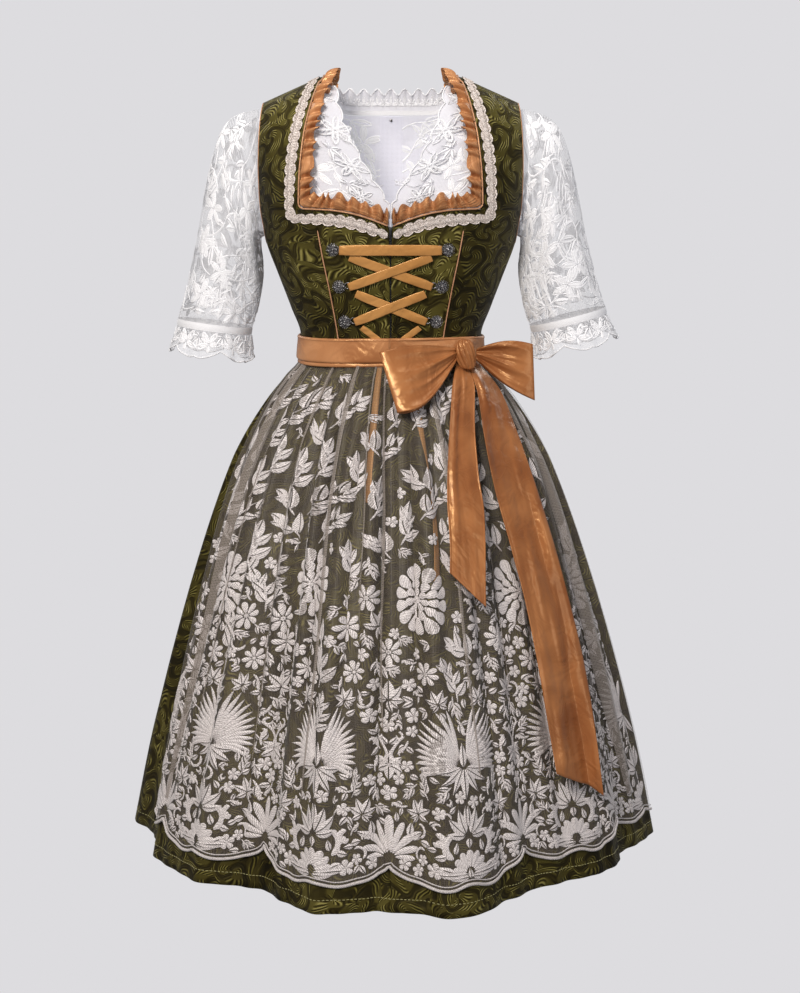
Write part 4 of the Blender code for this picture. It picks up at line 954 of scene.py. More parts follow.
# %% The repeat, from the waist to the hem
# motif, columns from the scallop's middle, height, turn, size
REPEAT = ((rosette, 0.0, -1.0090, 0.0, 0.98), (bell, 0.0, -0.9630, 0.0, 0.98),
    (fan, 0.0, -0.8780, 0.0, 1.02))
PAIRED = (
    (scroll, 1.10, -0.9920, 4.0, 0.92),
    (small_flower, 2.05, -1.0080, 10.0, 1.00),
    (small_flower, 2.75, -0.9980, 40.0, 0.72),
    (small_flower, 1.75, -0.9370, 60.0, 0.80),
    (curl, 2.60, -0.9860, -20.0, 0.80),
    (curl, 1.15, -0.9440, 20.0, 0.70),
    (cluster, 3.05, -0.9420, 24.0, 0.78),
    (branch, 2.25, -0.9230, -30.0, 0.62),
    (twin_leaf, 3.45, -0.9650, 40.0, 0.95),
    (small_flower, 3.30, -0.8230, 0.0, 0.95),
    (cluster, 1.55, -0.8050, 20.0, 0.70),
    (daisy, 2.10, -0.7700, 12.0, 0.85),
    (small_flower, 3.55, -0.7850, 30.0, 0.80),
    (small_flower, 2.80, -0.7480, 50.0, 0.85))
AT_NOTCH = (
    (palm, 5.0, -0.9920, 0.0, 0.92),
    (fork, 5.0, -0.8740, 0.0, 0.86),
    (star_flower, 5.0, -0.8830, 0.0, 0.90),
    (small_flower, 5.0, -0.9170, 20.0, 0.95),
    (small_flower, 4.35, -0.9020, 50.0, 0.85),
    (small_flower, 5.65, -0.8990, 80.0, 0.85),
    (cluster, 5.0, -0.8030, 0.0, 0.92),
    (daisy, 5.0, -0.7450, 0.0, 0.98))
# motif, column from the front centre, height, turn, size
SINGLE = (
    (round_flower, -7.5, -0.6630, 10.0, 1.10),
    (round_flower, 2.6, -0.6800, 0.0, 1.12),
    (round_flower, 12.9, -0.6820, 24.0, 1.10),
    (round_flower, -17.6, -0.6800, 5.0, 1.05),
    (round_flower, 22.0, -0.6900, 15.0, 0.98),
    (daisy, -3.6, -0.7150, 0.0, 1.10),
    (daisy, -10.6, -0.7150, 10.0, 1.10),
    (daisy, -2.0, -0.6780, 22.0, 1.00),
    (daisy, 7.4, -0.7150, 6.0, 1.10),
    (daisy, 9.4, -0.7350, 30.0, 1.00),
    (daisy, -14.0, -0.7150, 16.0, 1.05),
    (daisy, -21.4, -0.7200, 0.0, 1.05),
    (daisy, 16.6, -0.7200, 12.0, 1.05))


# %% Laying the repeat over the apron
def laid_out():
    """Every motif as (motif, column, height, turn, size), with the pairs mirrored in each repeat."""
    for middle in (-25.0, -15.0, -5.0, 5.0, 15.0, 25.0):
        for motif, column, height, turn, size in REPEAT:
            yield motif, middle + column, height, turn, size
        for motif, column, height, turn, size in PAIRED:
            yield motif, middle + column, height, turn, size
            yield mirror_image(motif), middle - column, height, -turn, size
        for motif, column, height, turn, size in AT_NOTCH:
            yield motif, middle + column, height, turn, size
    yield from SINGLE


def broad(motif):
    """A motif with its leaves and petals a third wider, as satin stitch spreads over the net."""
    motif = array(motif)
    motif[:, 4] *= where(motif[:, 6] == STEM, 1.2, 1.32)
    return motif


def column_step(height):
    """Metres from one skirt column to the next at a height, without folds."""
    table = [(-row[0], row[1]) for row in SKIRT]
    return smooth(table, 1, -asarray(height)) * 2.0 * pi / SKIRT_COLUMNS


leaflet = together(shape(0, -7, 90, 15, 7.0, 12))
trio = together(twin_leaf, shape(0, -6, 90, 22, 8.0))
twig = sprig(2, 9.0, 14.0, 6.0, 16.0)
tendril = together(shape(-4, -9, 80, 26, 2.4, -60, STEM), shape(7, 12, -10, 16, 2.4, -260, STEM),
    shape(-2, 0, 140, 13, 5.6, -20), shape(0, -2, 20, 12, 5.4, 20))
UPRIGHT = (0.0, 16.0, -16.0, 34.0, -34.0, 8.0)
ANY_WAY = (0.0, 60.0, 120.0, 180.0, 240.0, 300.0, 30.0, 90.0)
# motifs, sizes, turns, highest, net (in metres)
FILLERS = (
    ((long_sprig, acanthus, branch), (1.15, 1.00), UPRIGHT, -0.470, 0.016),
    ((drooping, acanthus, branch, cluster), (1.05, 0.90), UPRIGHT, -0.402, 0.012),
    ((cluster, curl, star_flower, twig, tendril), (1.10, 0.90), ANY_WAY, -0.402, 0.009),
    ((small_flower, trio, tendril, curl, twig), (1.00, 0.80), ANY_WAY, -0.402, 0.007),
    ((small_flower, twin_leaf, tendril), (0.90, 0.72), ANY_WAY, -0.560, 0.006),
    ((leaflet,), (0.85,), ANY_WAY, -0.700, 0.006))
CELL_TALL, CELL_WIDE = 0.0015, 0.10  # metres down and skirt columns across
OPEN_ABOVE = -0.640  # above this height the motifs keep about 4 mm of bare net round them


def cells_of(motif, turn, size):
    """Points all over a motif's strips, in metres: between its stations and across its width."""
    strips = shape_strips(moved(motif, 0.0, 0.0, turn, size))[0]
    strips = concatenate((strips, (strips[:, 1:] + strips[:, :-1]) / 2.0), axis=1)
    share = steps_down(6)
    return (strips[:, :, None, 0] * (1.0 - share) + strips[:, :, None, 3] * share).reshape(-1, 2)


def filled(entries):
    """The entries, and then smaller and smaller motifs wherever one fits without touching another.

    The apron is parted into small cells. A motif fits where hardly any of the cells under it are
    taken, and when it is laid it takes its own cells, and above OPEN_ABOVE the bare net round them.
    """
    entries = list(entries)
    heights = arange(APRON_TOP, APRON_HEM - 0.002, -CELL_TALL)[:, None]
    columns = arange(APRON_FROM, APRON_TO, CELL_WIDE)[None, :]
    taken = heights < apron_edge(columns) + 0.0095
    taken[:5], taken[:, :6], taken[:, -6:] = True, True, True

    def under(points, column, height, step):
        down = ((APRON_TOP - height - points[:, 1]) / CELL_TALL).astype(int)
        along = ((column - APRON_FROM + points[:, 0] / step) / CELL_WIDE).astype(int)
        return clip(down, 1, taken.shape[0] - 2), clip(along, 1, taken.shape[1] - 2)

    def lay(down, along, room=0):
        for shift in range(-room, room + 1):
            taken[clip(down + shift, 1, taken.shape[0] - 2), along] = True
            taken[down, clip(along + shift, 1, taken.shape[1] - 2)] = True

    for motif, column, height, turn, size in entries:
        lay(*under(cells_of(motif, turn, size), column, height, column_step(height)))
    for motifs, sizes, turns, highest, net_width in FILLERS:
        tries = [(motif, turn, size, cells_of(broad(motif), turn, size))
            for size in sizes for motif in motifs for turn in turns]
        for row, height in enumerate(arange(highest, APRON_HEM, -net_width)):
            step = column_step(height)
            for k, column in enumerate(arange(APRON_FROM, APRON_TO, net_width / step)):
                column = column + (0.618 * row % 1.0) * net_width / step
                if taken[under(np.zeros((1, 2)), column, height, step)]:
                    continue
                first = int(9973.0 * abs(math.sin(12.9898 * row + 78.233 * k))) % len(tries)
                for motif, turn, size, points in tries[first:] + tries[:first]:
                    if taken[under(points[::37], column, height, step)].mean() > 0.10:
                        continue
                    down, along = under(points, column, height, step)
                    if taken[down, along].mean() < 0.060:
                        lay(down, along, 3 if height > OPEN_ABOVE else 0)
                        entries.append((broad(motif), column, height, turn, size))
                        break
    return entries


# %% Sewing it on
EDGE_BAND = 0.0075  # metres at the edge that stay free for the two cords
plain_rows, plain_columns = 161, 8 * (APRON_TO - APRON_FROM) + 1
ground = skirt_points(steps_along(plain_columns, APRON_FROM, APRON_TO),
    steps_down(plain_rows, APRON_TOP, APRON_HEM), APRON_LIFT)


def inside_edge(rows, columns):
    """True where a point is above the scalloped edge by more than EDGE_BAND."""
    heights = APRON_TOP + (APRON_HEM - APRON_TOP) * rows / (plain_rows - 1.0)
    return heights > apron_edge(APRON_FROM + columns / 8.0) + EDGE_BAND


placed = [(motif, (APRON_TOP - height) / (APRON_TOP - APRON_HEM) * (plain_rows - 1.0),
    (column - APRON_FROM) * 8.0, turn, size)
    for motif, column, height, turn, size in filled((broad(m), *rest) for m, *rest in laid_out())]
embroidery = sew("apron_embroidery", ground, placed, silver_thread, keep=inside_edge)

# %% [markdown]
# ## The bodice
# Six panels, joined at the centre back, the sides and the princess seams. Each is cut between two
# edges given as angles at each drop, so a panel is the figure's surface between them, on a finer
# grid than the CAD's. Piping of copper satin covers the princess seams and the armholes' edges.

# %% Cutting lines
SIDE_DROPS = array((0.0, 0.003, 0.012, 0.030, 0.058, 0.092, 0.130, 0.1735, 0.1780, 0.200, 0.222,
    0.250, 0.285, 0.320, 0.350, WAIST_DROP))


def finer(places, times):
    """The same places with each step split in equal parts."""
    return np.interp(linspace(0.0, len(places) - 1.0, times * (len(places) - 1) + 1),
        arange(len(places)), places)


def armhole_angle(drops, front=True):
    """Angle of the armhole's edge at each drop, and of the side seam below the underarm."""
    edge = angle_of(smooth(EDGES, 1, drops), drops, front)
    return where(drops >= UNDERARM - 1e-6, 90.0, edge)


def seam_angle(half_width):
    """The angle that a seam's gap covers at this distance from the body's middle."""
    return math.degrees(SEAM / half_width)


def back_neck_half(drops):
    """Half width of the back neckline, a rounded U, and of the seam's gap below it."""
    share = clip(drops / BACK_NECK_DROP, 0.0, 1.0)
    curve = 0.0890 + (BACK_NECK_HALF - 0.0890) * minimum(share * 2.2, 1.0)
    curve = curve * (1.0 - share ** 7) ** 0.5
    return maximum(where(drops >= BACK_NECK_DROP, 0.0, curve), 0.5 * SEAM)


def between(from_angle, to_angle, drops, columns):
    """Angles and drops of a grid between two edges, which are given as one angle for each row."""
    share = steps_along(columns)
    angles = asarray(from_angle)[:, None] * (1.0 - share) + asarray(to_angle)[:, None] * share
    return angles, broadcast_to(asarray(drops)[:, None], angles.shape)


def both_sides(name, points, finish, wall):
    """A piece on the bow's side and its mirror image on the other, named as they are seen."""
    return (cloth(f"{name}_right", points, finish, wall),
        cloth(f"{name}_left", (points * MIRROR)[:, ::-1], finish, wall))


# %% Six panels
share = steps_down(61)
half = 0.0012 + (0.0999 - 0.0012) * linspace(0.0, 1.0, 41)
front_drops = smooth(SWEETHEART, 1, half)[None, :] * (1.0 - share) + WAIST_DROP * share
opening = 0.0011 + 0.0017 * clip((0.235 - front_drops) / 0.035, 0.0, 1.0)
front_half = opening + (smooth(PRINCESS, 1, front_drops) - SEAM - opening) * steps_along(41)
panels = both_sides("bodice_front", figure(angle_of(front_half, front_drops), front_drops, BODICE_LIFT),
    olive, BODICE_WALL)

side_drops = finer(SIDE_DROPS, 5)
inner = where(side_drops < 0.1775, smooth(EDGES, 2, side_drops), smooth(PRINCESS, 1, side_drops))
angles, drops = between(angle_of(inner, side_drops), armhole_angle(side_drops) - seam_angle(0.17),
    side_drops, 33)
panels += both_sides("bodice_side", figure(angles, drops, BODICE_LIFT), olive, BODICE_WALL)

back_drops = finer(np.unique(concatenate((SIDE_DROPS[:7], (0.148, BACK_NECK_DROP, 0.172),
    SIDE_DROPS[9:]))), 5)
angles, drops = between(armhole_angle(back_drops, front=False) + seam_angle(0.17),
    angle_of(back_neck_half(back_drops), back_drops, front=False), back_drops, 41)
panels += both_sides("bodice_back", figure(angles, drops, BODICE_LIFT), olive, BODICE_WALL)
print("panels", len(panels))

# %% [markdown]
# ## Piping, ruffle and braid along the neckline
# The trims share one line: from the notch at the front, along the sweetheart edge, up over the
# shoulder and down round the back. A trim is a strip of that line between two insets. The ruffle is
# a strip of satin twice as long as its seam, so its free edge swings in waves that grow from the seam.
# The braid is crochet: scallops of thread on both edges of a cord.

# %% The neckline's own line
def neckline_route(inset):
    """Half widths and travels of the neckline's line, moved outwards by inset."""
    bottom_half = array((0.0030, 0.0180, 0.0360, 0.0550, 0.0760, 0.0980, 0.1130))
    bottom_drop = smooth(SWEETHEART, 1, bottom_half) + inset
    bottom_half = bottom_half + inset * array((0.05, 0.05, 0.05, 0.1, 0.25, 0.6, 0.9))
    side_drop = array((0.168, 0.150, 0.125, 0.100, 0.074, 0.048, 0.026, 0.011, 0.003))
    side_half = smooth(EDGES, 2, side_drop) + inset
    side_drop = side_drop + inset * array((0.7, 0.3, 0.0, 0.0, 0.0, 0.0, 0.0, 0.0, 0.0))
    back_drop = array((0.003, 0.011, 0.028, 0.052, 0.078, 0.104, 0.126, 0.141, 0.148, 0.150))
    back_half = back_neck_half(minimum(back_drop, 0.1497))
    back_half[-1] = 0.0015
    ease = array((1.0, 1.0, 1.0, 1.0, 1.0, 0.95, 0.75, 0.45, 0.12, 0.0))
    fall = array((0.0, 0.0, 0.0, 0.0, 0.1, 0.3, 0.65, 0.9, 1.0, 1.0))
    half = concatenate((bottom_half, side_half, back_half + inset * ease))
    return half, concatenate((-bottom_drop, -side_drop, back_drop + inset * fall))


def neckline_points(inset, at, lift):
    """Points at places along the line (one unit from each of its stations to the next)."""
    inset, at = np.broadcast_arrays(asarray(inset, float), at)
    stations = arange(len(neckline_route(0.0)[0]))
    ends = [neckline_route(limit) for limit in (-0.020, 0.022)]
    t = (inset + 0.020) / 0.042
    half, travel = ((1 - t) * smooth(stack((stations, ends[0][k]), 1), 1, at)
        + t * smooth(stack((stations, ends[1][k]), 1), 1, at) for k in (0, 1))
    return figure(angle_of(half, np.abs(travel), travel <= 0.0), np.abs(travel), lift)


def even_places(inset, count):
    """Places that part the line into equal lengths, and its length in metres."""
    fine = linspace(0.0, len(neckline_route(0.0)[0]) - 1.0, 4000)
    line = neckline_points(inset, fine, BODICE_FACE)
    travel = travelled(line)
    return np.interp(linspace(0.0, travel[-1], count), travel, fine), travel[-1]


# %% The ruffle
RUFFLE_WAVE = 0.0150  # metres along the seam for each wave


def ruffle_points():
    """Strip whose lift and reach swing as sines of the travel, from nothing at the seam to full."""
    at, length = even_places(-0.010, 641)
    travel = steps_along(641, 0.0, length)
    across = steps_down(17)
    phase = 2.0 * pi * travel / RUFFLE_WAVE + 1.9 * sin(travel * 61.0) + 1.1 * sin(travel * 143.0)
    size = 1.0 + 0.40 * sin(travel * 97.0 + 1.0)
    phase = phase + 0.9 * sin(travel * 211.0) * across
    wave = sin(phase)
    swing = size * np.sign(wave) * np.abs(wave) ** 0.65 * across ** 0.5
    reach = -0.0008 - 0.0160 * across + 0.0034 * across * cos(phase + 0.8) * size
    tuck = 0.0008 * sin(2.0 * phase + 0.7) * exp(-(across / 0.45) ** 2)
    puff = 0.0022 * sin(pi * across ** 0.8)
    lift = BODICE_LIFT + 0.0036 + 0.0020 * across + puff + 0.0056 * swing + tuck
    return neckline_points(reach, broadcast_to(at[None, :], lift.shape), lift)[::-1]


# The ruffle wears the copper satin painted paler: a painted highlight.
ruffles = both_sides("neck_ruffle", ruffle_points(), copper_painted_highlight, 0.0006)

# %% Piping on the neckline, the princess seams and the armholes
at, neck_length = even_places(0.0012, 400)
neck_path = neckline_points(0.0012, at, BODICE_FACE + 0.0016)
seam_drops = linspace(0.2045, -BELT_TOP + 0.004, 90)
seam_path = figure(angle_of(smooth(PRINCESS, 1, seam_drops) - 0.0002, seam_drops), seam_drops,
    BODICE_FACE + 0.0012)
arm_drops = concatenate((linspace(0.0005, 0.05, 50), linspace(0.052, UNDERARM - 0.0005, 70)))
arm_front = figure(armhole_angle(arm_drops) - 0.35, arm_drops, BODICE_FACE - 0.0006)
arm_back = figure(armhole_angle(arm_drops, front=False) + 0.35, arm_drops, BODICE_FACE - 0.0006)
arm_path = concatenate((arm_front, arm_back[::-1]))
for side, turn in (("right", 1.0), ("left", MIRROR)):
    for name, path, radius in (("neck_piping", neck_path, 0.0012), ("princess_piping", seam_path, 0.0009)):
        cord_piece(f"{name}_{side}", path * turn, radius, piping_satin)
    cord_piece(f"armhole_piping_{side}", arm_path * turn, 0.0011, piping_satin)

# %% The crochet braid
BRAID_BUMP = 0.0148  # metres from one scallop to the next
at, braid_length = even_places(0.0135, 1121)
bumps = round(braid_length / BRAID_BUMP)
phase = linspace(0.0, bumps, len(at))[None, :]
width = 0.0030 + 0.0022 * np.abs(sin(pi * phase)) ** 0.8
across = steps_down(9, -1.0, 1.0)
crown = 0.0006 * (1.0 - across ** 2) + 0.0 * phase
braid_base = neckline_points(0.0135 + across * width, broadcast_to(at[None, :], crown.shape),
    TRIM_LIFT + 0.0002 + crown)
level = steps_down(21, 0.0035, 0.0235)
braid_ground = neckline_points(level, broadcast_to(at[None, :], (21, len(at))), TRIM_LIFT + 0.0009)
half_heart = together(shape(-7.2, 3.0, 62, 18.4, 2.5, -124, STEM),
    shape(-4.6, 2.6, 62, 11.0, 1.9, -124, STEM),
    shape(0, 0.6, 90, 6.0, 2.4, 0, PETAL), shape(-0.6, 0.8, 130, 5.4, 1.8, 0, PETAL),
    shape(0.6, 0.8, 50, 5.4, 1.8, 0, PETAL))
other_half = half_heart * array((1.0, -1.0, -1.0, 1.0, 1.0, -1.0, 1.0))
heart = together(half_heart, other_half, shape(-7.4, 0, 30, 8.6, 1.8, -60, STEM),
    shape(-7.4, 0, -30, 8.6, 1.8, 60, STEM))
places = [(heart, 10.0, (k + 0.5) * 1120.0 / bumps, 180.0, 1.0) for k in range(bumps)]
for side, turn in (("right", 1.0), ("left", MIRROR)):
    flip = (lambda p: p[::-1]) if side == "right" else (lambda p: (p * MIRROR)[::-1, ::-1])
    base = cloth(f"neck_braid_{side}", flip(braid_base), ivory_thread, 0.0010)
    sew(f"neck_braid_{side}_stitches", flip(braid_ground), places, ivory_thread, lift=(-0.0002, 0.0009))
print("neckline length, m:", round(2.0 * neck_length, 3), "scallops a side", bumps)

# %% [markdown]
# ## The front: zip, hooks and lacing
# The front closes with a black zip whose slider rests at the top. Over it a caramel ribbon is laced
# through six cast hooks: each is a rosette of wire loops round a bead, with a ring for the ribbon.

# %% The zip
SLIDER_SIZE = array((0.0044, 0.0030, 0.0095))
zip_drops = linspace(0.2005, WAIST_DROP - 0.001, 80)
zip_half = linspace(-0.009, 0.009, 25)
tape = figure(np.sign(zip_half)[None, :] * angle_of(np.abs(zip_half)[None, :], zip_drops[:, None]),
    zip_drops[:, None] + 0.0 * zip_half, BODICE_LIFT - 0.0014)
cloth("front_zip", tape, zip_nylon, 0.0010)
tooth_drops = arange(0.212, WAIST_DROP - 0.002, 0.0022)


def block(centre, size, taper=1.0):
    """Corners of small bars: half sizes along x, y and z, narrower by taper at their feet."""
    corner = array([(x, y, z) for x in (-1, 1) for y in (-1, 1) for z in (-1, 1)], float)
    narrow = np.ones((8, 3))
    narrow[:, 0] = where(corner[:, 2] > 0.0, 1.0, taper)
    return asarray(centre)[..., None, :] + corner * narrow * asarray(size)


BLOCK = array(((0, 1, 3, 2), (4, 6, 7, 5), (0, 4, 5, 1), (2, 3, 7, 6), (0, 2, 6, 4), (1, 5, 7, 3)))
side_of = where(arange(len(tooth_drops)) % 2 == 0, 1.0, -1.0)
teeth = block(on_front(0.0007 * side_of, tooth_drops, BODICE_LIFT + 0.0004), (0.0011, 0.0006, 0.0007))
faces = (arange(len(teeth))[:, None, None] * 8 + BLOCK).reshape(-1, 4)
mesh_piece("zip_teeth", teeth.reshape(-1, 3), faces, teeth.reshape(-1, 3)[:, ::2], zip_nylon)
slider_at = figure(0.0, 0.2060, BODICE_LIFT + 0.0016)
parts = stack((block(slider_at, SLIDER_SIZE / 2.0 * (1.0, 0.55, 1.0), 0.45),
    block(slider_at + (0.0, -0.0009, 0.0012), (0.0009, 0.0011, 0.0022), 0.8)))
slider = mesh_piece("zip_slider", parts.reshape(-1, 3), concatenate((BLOCK, BLOCK + 8)),
    parts.reshape(-1, 3)[:, ::2], zip_nylon)
round_off = slider.modifiers.new("edges", "BEVEL")
round_off.width, round_off.segments = 0.0004, 2
print("teeth", len(teeth))

# %% Cast hooks
# half width, drop
HOOKS = ((0.0765, 0.2300), (0.0685, 0.2790), (0.0610, 0.3265))
EYE_RADIUS = 0.0048
EYE_REACH = 0.0125  # from the hook's middle to its eye's middle


def hoop(radius, wire, centre=(0.0, 0.0), up=0.0, steps=18, sides=6):
    """A ring of wire flat on the cloth, as a closed grid of rings round its centre line."""
    turn = linspace(0.0, 2.0 * pi, steps + 1)
    line = stack((centre[0] + radius * cos(turn), centre[1] + radius * sin(turn),
        full(steps + 1, up)), axis=-1)
    out = stack((cos(turn), sin(turn), 0.0 * turn), axis=-1)[:, None]
    side = (arange(sides) * 2.0 * pi / sides)[None, :, None]
    return line[:, None] + wire * (cos(side) * out + sin(side) * array((0.0, 0.0, 1.0)))


def bead(radius, centre=(0.0, 0.0), up=0.0, tall=0.8):
    """A low round bead: circles whose radius and height follow a quarter turn."""
    rise = linspace(0.0, pi / 2.0 * 0.98, 6)[:, None]
    turn = (arange(12) * pi / 6.0)[None, :]
    return stack((centre[0] + radius * cos(rise) * cos(turn), centre[1] + radius * cos(rise) * sin(turn),
        up + radius * tall * sin(rise) + 0.0 * turn), axis=-1)


def hook_parts():
    """A rosette: a pierced plate, eight loops, eight beads, a boss, and the ring for the ribbon."""
    parts = [bead(0.0072, up=0.0001, tall=0.10), bead(0.0020, up=0.0006), hoop(0.0030, 0.00045, up=0.0010)]
    for k in range(8):
        turn = math.radians(45.0 * k + 22.5)
        reach = array((math.cos(turn), math.sin(turn)))
        parts.append(hoop(0.0023, 0.00042, 0.0064 * reach, 0.0008, 12, 5))
        parts.append(bead(0.0008, 0.0064 * reach, 0.0006))
        parts.append(bead(0.0007, 0.0088 * array((math.cos(turn + 0.39), math.sin(turn + 0.39))), 0.0003))
    parts.append(hoop(EYE_RADIUS * 0.82, 0.0009, (EYE_REACH, 0.0), 0.0008, 20, 6))
    return parts


points, faces, count = [], [], 0
for part in hook_parts():
    rings, sides = part.shape[:2]
    points.append(part.reshape(-1, 3))
    faces.append(grid_faces(rings, sides, closed=True) + count)
    count += rings * sides
hook_points, hook_faces = concatenate(points), concatenate(faces)
for row, (half_width, drop) in enumerate(HOOKS, start=1):
    for side, sign in (("right", 1.0), ("left", -1.0)):
        angle = float(angle_of(array(half_width), array(drop))) * sign
        base = figure(angle, drop, BODICE_FACE)
        way = unit(figure(angle, drop, BODICE_FACE + 0.01) - base)
        inwards = unit(np.cross(way, unit(figure(angle, drop + 0.01, BODICE_FACE) - base)))
        inwards = inwards * -sign * np.sign(inwards[0])
        axes = stack((inwards, np.cross(way, inwards), way))
        name = f"lacing_hook_{side}_{row}"
        mesh_piece(name, base + way * 0.0007 + hook_points @ axes, hook_faces[:, ::int(sign)],
            hook_points[:, :2], aged_silver)
print("hook triangles", 2 * len(hook_faces))

# %% The laced ribbon
RIBBON, RIBBON_WALL = 0.0135, 0.0008
LOW, HIGH, TOP_LIFT = TRIM_LIFT + 0.0030, TRIM_LIFT + 0.0044, TRIM_LIFT + 0.0057


def eye_place(side, row, lift, inset=0.0):
    """The middle of a hook's ring, as a half width with its sign, a drop and a lift."""
    half_width, drop = HOOKS[row - 1]
    return side * (half_width - EYE_REACH - inset), drop, lift


def ribbon_between(name, start, end, width):
    """A ribbon over the bodice between two places, crowned a little, its ends drawn in at the rings."""
    share = steps_down(49)
    across = steps_along(11, -0.5, 0.5)
    run = unit(array((end[0] - start[0], end[1] - start[1])))
    if run[0] < 0.0:
        start, end, run = end, start, -run
    wide = width * (1.0 - 0.16 * exp(-(share / 0.07) ** 2) - 0.16 * exp(-((1 - share) / 0.07) ** 2))
    x = start[0] + (end[0] - start[0]) * share - run[1] * wide * across
    drop = start[1] + (end[1] - start[1]) * share + run[0] * wide * across
    lift = start[2] + (end[2] - start[2]) * share + 0.0005 * (1.0 - 4.0 * across ** 2)
    lift = lift + 0.00025 * sin(share * 17.0 + across * 5.0)
    lift = lift - 0.0003 * exp(-((np.abs(across) - 0.42) / 0.03) ** 2)
    piece = cloth(name, on_front(x, drop, lift), caramel, RIBBON_WALL)


ribbon_between("lacing_bar", eye_place(-1, 1, TOP_LIFT, -0.003), eye_place(1, 1, TOP_LIFT, -0.003), RIBBON)
for cross in (1, 2):
    left, right = eye_place(-1, cross, LOW, 0.010), eye_place(1, cross + 1, LOW, 0.001)
    ribbon_between(f"lacing_under_{cross}", (left[0], left[1] + 0.009, LOW), right, RIBBON * 0.92)
    right, left = eye_place(1, cross, HIGH, 0.010), eye_place(-1, cross + 1, HIGH, 0.001)
    ribbon_between(f"lacing_over_{cross}", (right[0], right[1] + 0.009, HIGH), left, RIBBON * 0.92)
for side, sign in (("left", -1), ("right", 1)):
    start = eye_place(sign, 3, LOW if sign < 0 else HIGH, 0.010)
    ribbon_between(f"lacing_tuck_{side}", (start[0], start[1] + 0.0075, start[2]),
        (sign * 0.0130, -BELT_TOP + 0.0040, TRIM_LIFT), 0.0085)

# %% The ribbon's two free ends, under the apron
# side, column, foot, width
LACING_ENDS = (("left", -2.0, -0.560, 0.0080), ("right", 4.0, -0.660, 0.0080))
for side, column, foot, width in LACING_ENDS:
    heights = steps_down(90, BELT_BOTTOM - 0.0030, foot)
    turning = 1.0 if side == "left" else 1.0 - 0.75 * exp(-((heights + 0.52) / 0.05) ** 2)
    drift = 0.25 * sin((heights - BELT_BOTTOM) * (9.0 if side == "left" else 24.0))
    columns = column + drift + steps_along(7, -0.5, 0.5) * width * turning / 0.0125
    end = cloth(f"lacing_end_{side}", skirt_points(columns, heights, SKIRT_WALL + 0.0008), caramel,
        RIBBON_WALL)

# %% [markdown]
# ## The satin band and its bow
# The apron is tied with a copper satin band about 8 cm wide. Round the waist it lies folded, with a
# second fold showing below, and it creases where it is pulled to the knot. The knot is a short wrap
# in pleats. Each loop leaves it gathered, opens to its full width and comes back behind; each tail
# falls from under the knot, bridging the apron's folds, and is cut on a slant.

# %% The band round the waist
KNOT_PLACE = array((0.1025, -0.0868, -0.3720))
KNOT_SIZE = array((0.0138, 0.0100, 0.0205))  # half its width, depth and height
# height, lift (down the folded band, from its upper edge round to its lower fold)
BAND = (
    (-0.3508, 0.0052), (-0.3510, 0.0071), (-0.3524, 0.0080), (-0.3538, 0.0074), (-0.3600, 0.0080),
    (-0.3680, 0.0090), (-0.3760, 0.0098), (-0.3806, 0.0101), (-0.3822, 0.0092), (-0.3826, 0.0070))
FOLD = (
    (-0.3800, 0.0062), (-0.3835, 0.0074), (-0.3862, 0.0086), (-0.3878, 0.0082), (-0.3880, 0.0064))


def band_points(rows, wrinkle):
    """Rings at the rows' heights and lifts, creased by slanting waves that grow towards the knot."""
    down = linspace(0.0, len(rows) - 1.0, 6 * (len(rows) - 1) + 1)
    height, lift = (spline(array(rows)[:, k], down)[:, None] for k in (0, 1))
    angle = (arange(720) * 0.5)[None, :]
    body_share = (down / down[-1])[:, None]
    from_knot = (angle - 47.0 + 180.0) % 360.0 - 180.0
    near = exp(-(from_knot / 22.0) ** 2)
    slant = radians(angle * 9.0) + 3.2 * body_share + 0.8 * sin(radians(angle * 4.0) + 1.0)
    crease = wrinkle * (0.5 + 0.5 * sin(radians(angle * 2.0) + 0.6)) * sin(slant)
    pull = 0.0011 * near * sin(body_share * 19.0 + from_knot * 0.05)
    sway = 0.0008 * sin(radians(angle * 3.0 + 40.0)) + 0.0012 * exp(-((angle - 50.0) / 18.0) ** 2)
    hump = sin(pi * body_share)
    return figure(angle, -(height + sway), lift + (crease + pull) * hump)


# The band and its fold wear the copper satin painted paler: a painted highlight.
band = cloth("apron_waistband", band_points(BAND, 0.0019), copper_painted_highlight, 0.0010, closed=True)
lower = cloth("apron_waistband_fold", band_points(FOLD, 0.0006), copper_painted_highlight, 0.0010, closed=True)

# %% The knot
def knot_points():
    """A barrel: half circles from top to foot, pinched at both ends, ridged by slanting pleats."""
    rise = steps_down(61, 0.02, pi - 0.02)
    turn = (arange(120) * pi / 60.0)[None, :]
    pleat = np.abs(sin(5.5 * turn + 2.6 * cos(rise) + 0.5)) ** 0.8
    swell = (0.86 + 0.16 * pleat) * (1.0 + 0.05 * sin(2.0 * rise + turn))
    shape_out = sin(rise) ** 0.55 * swell
    lean = 0.0022 * cos(rise)
    return KNOT_PLACE + stack((KNOT_SIZE[0] * shape_out * sin(turn) - lean,
        -KNOT_SIZE[1] * shape_out * cos(turn), KNOT_SIZE[2] * cos(rise) + 0.0 * turn), axis=-1)


knot = cloth("bow_knot", knot_points()[:, ::-1], copper, closed=True)

# %% The loops
# the upper and lower long edges swell between them
LOOPS = {
    "left": {"pinch": ((0.0895, -0.0872, -0.3640), (0.0895, -0.0874, -0.3800)),
             "tip": ((-0.0150, -0.1330, -0.3665), (0.0094, -0.1610, -0.4443)),
             "belly": ((0.0, -0.0030, 0.0060), (0.0, -0.0200, -0.0200))},
    "right": {"pinch": ((0.1157, -0.0866, -0.3655), (0.1157, -0.0866, -0.3780)),
              "tip": ((0.1940, -0.0830, -0.3585), (0.1965, -0.0950, -0.4340)),
              "belly": ((0.0, 0.0, 0.0080), (0.0, 0.0, -0.0065))}}
LOOP_DEPTH = 0.0085


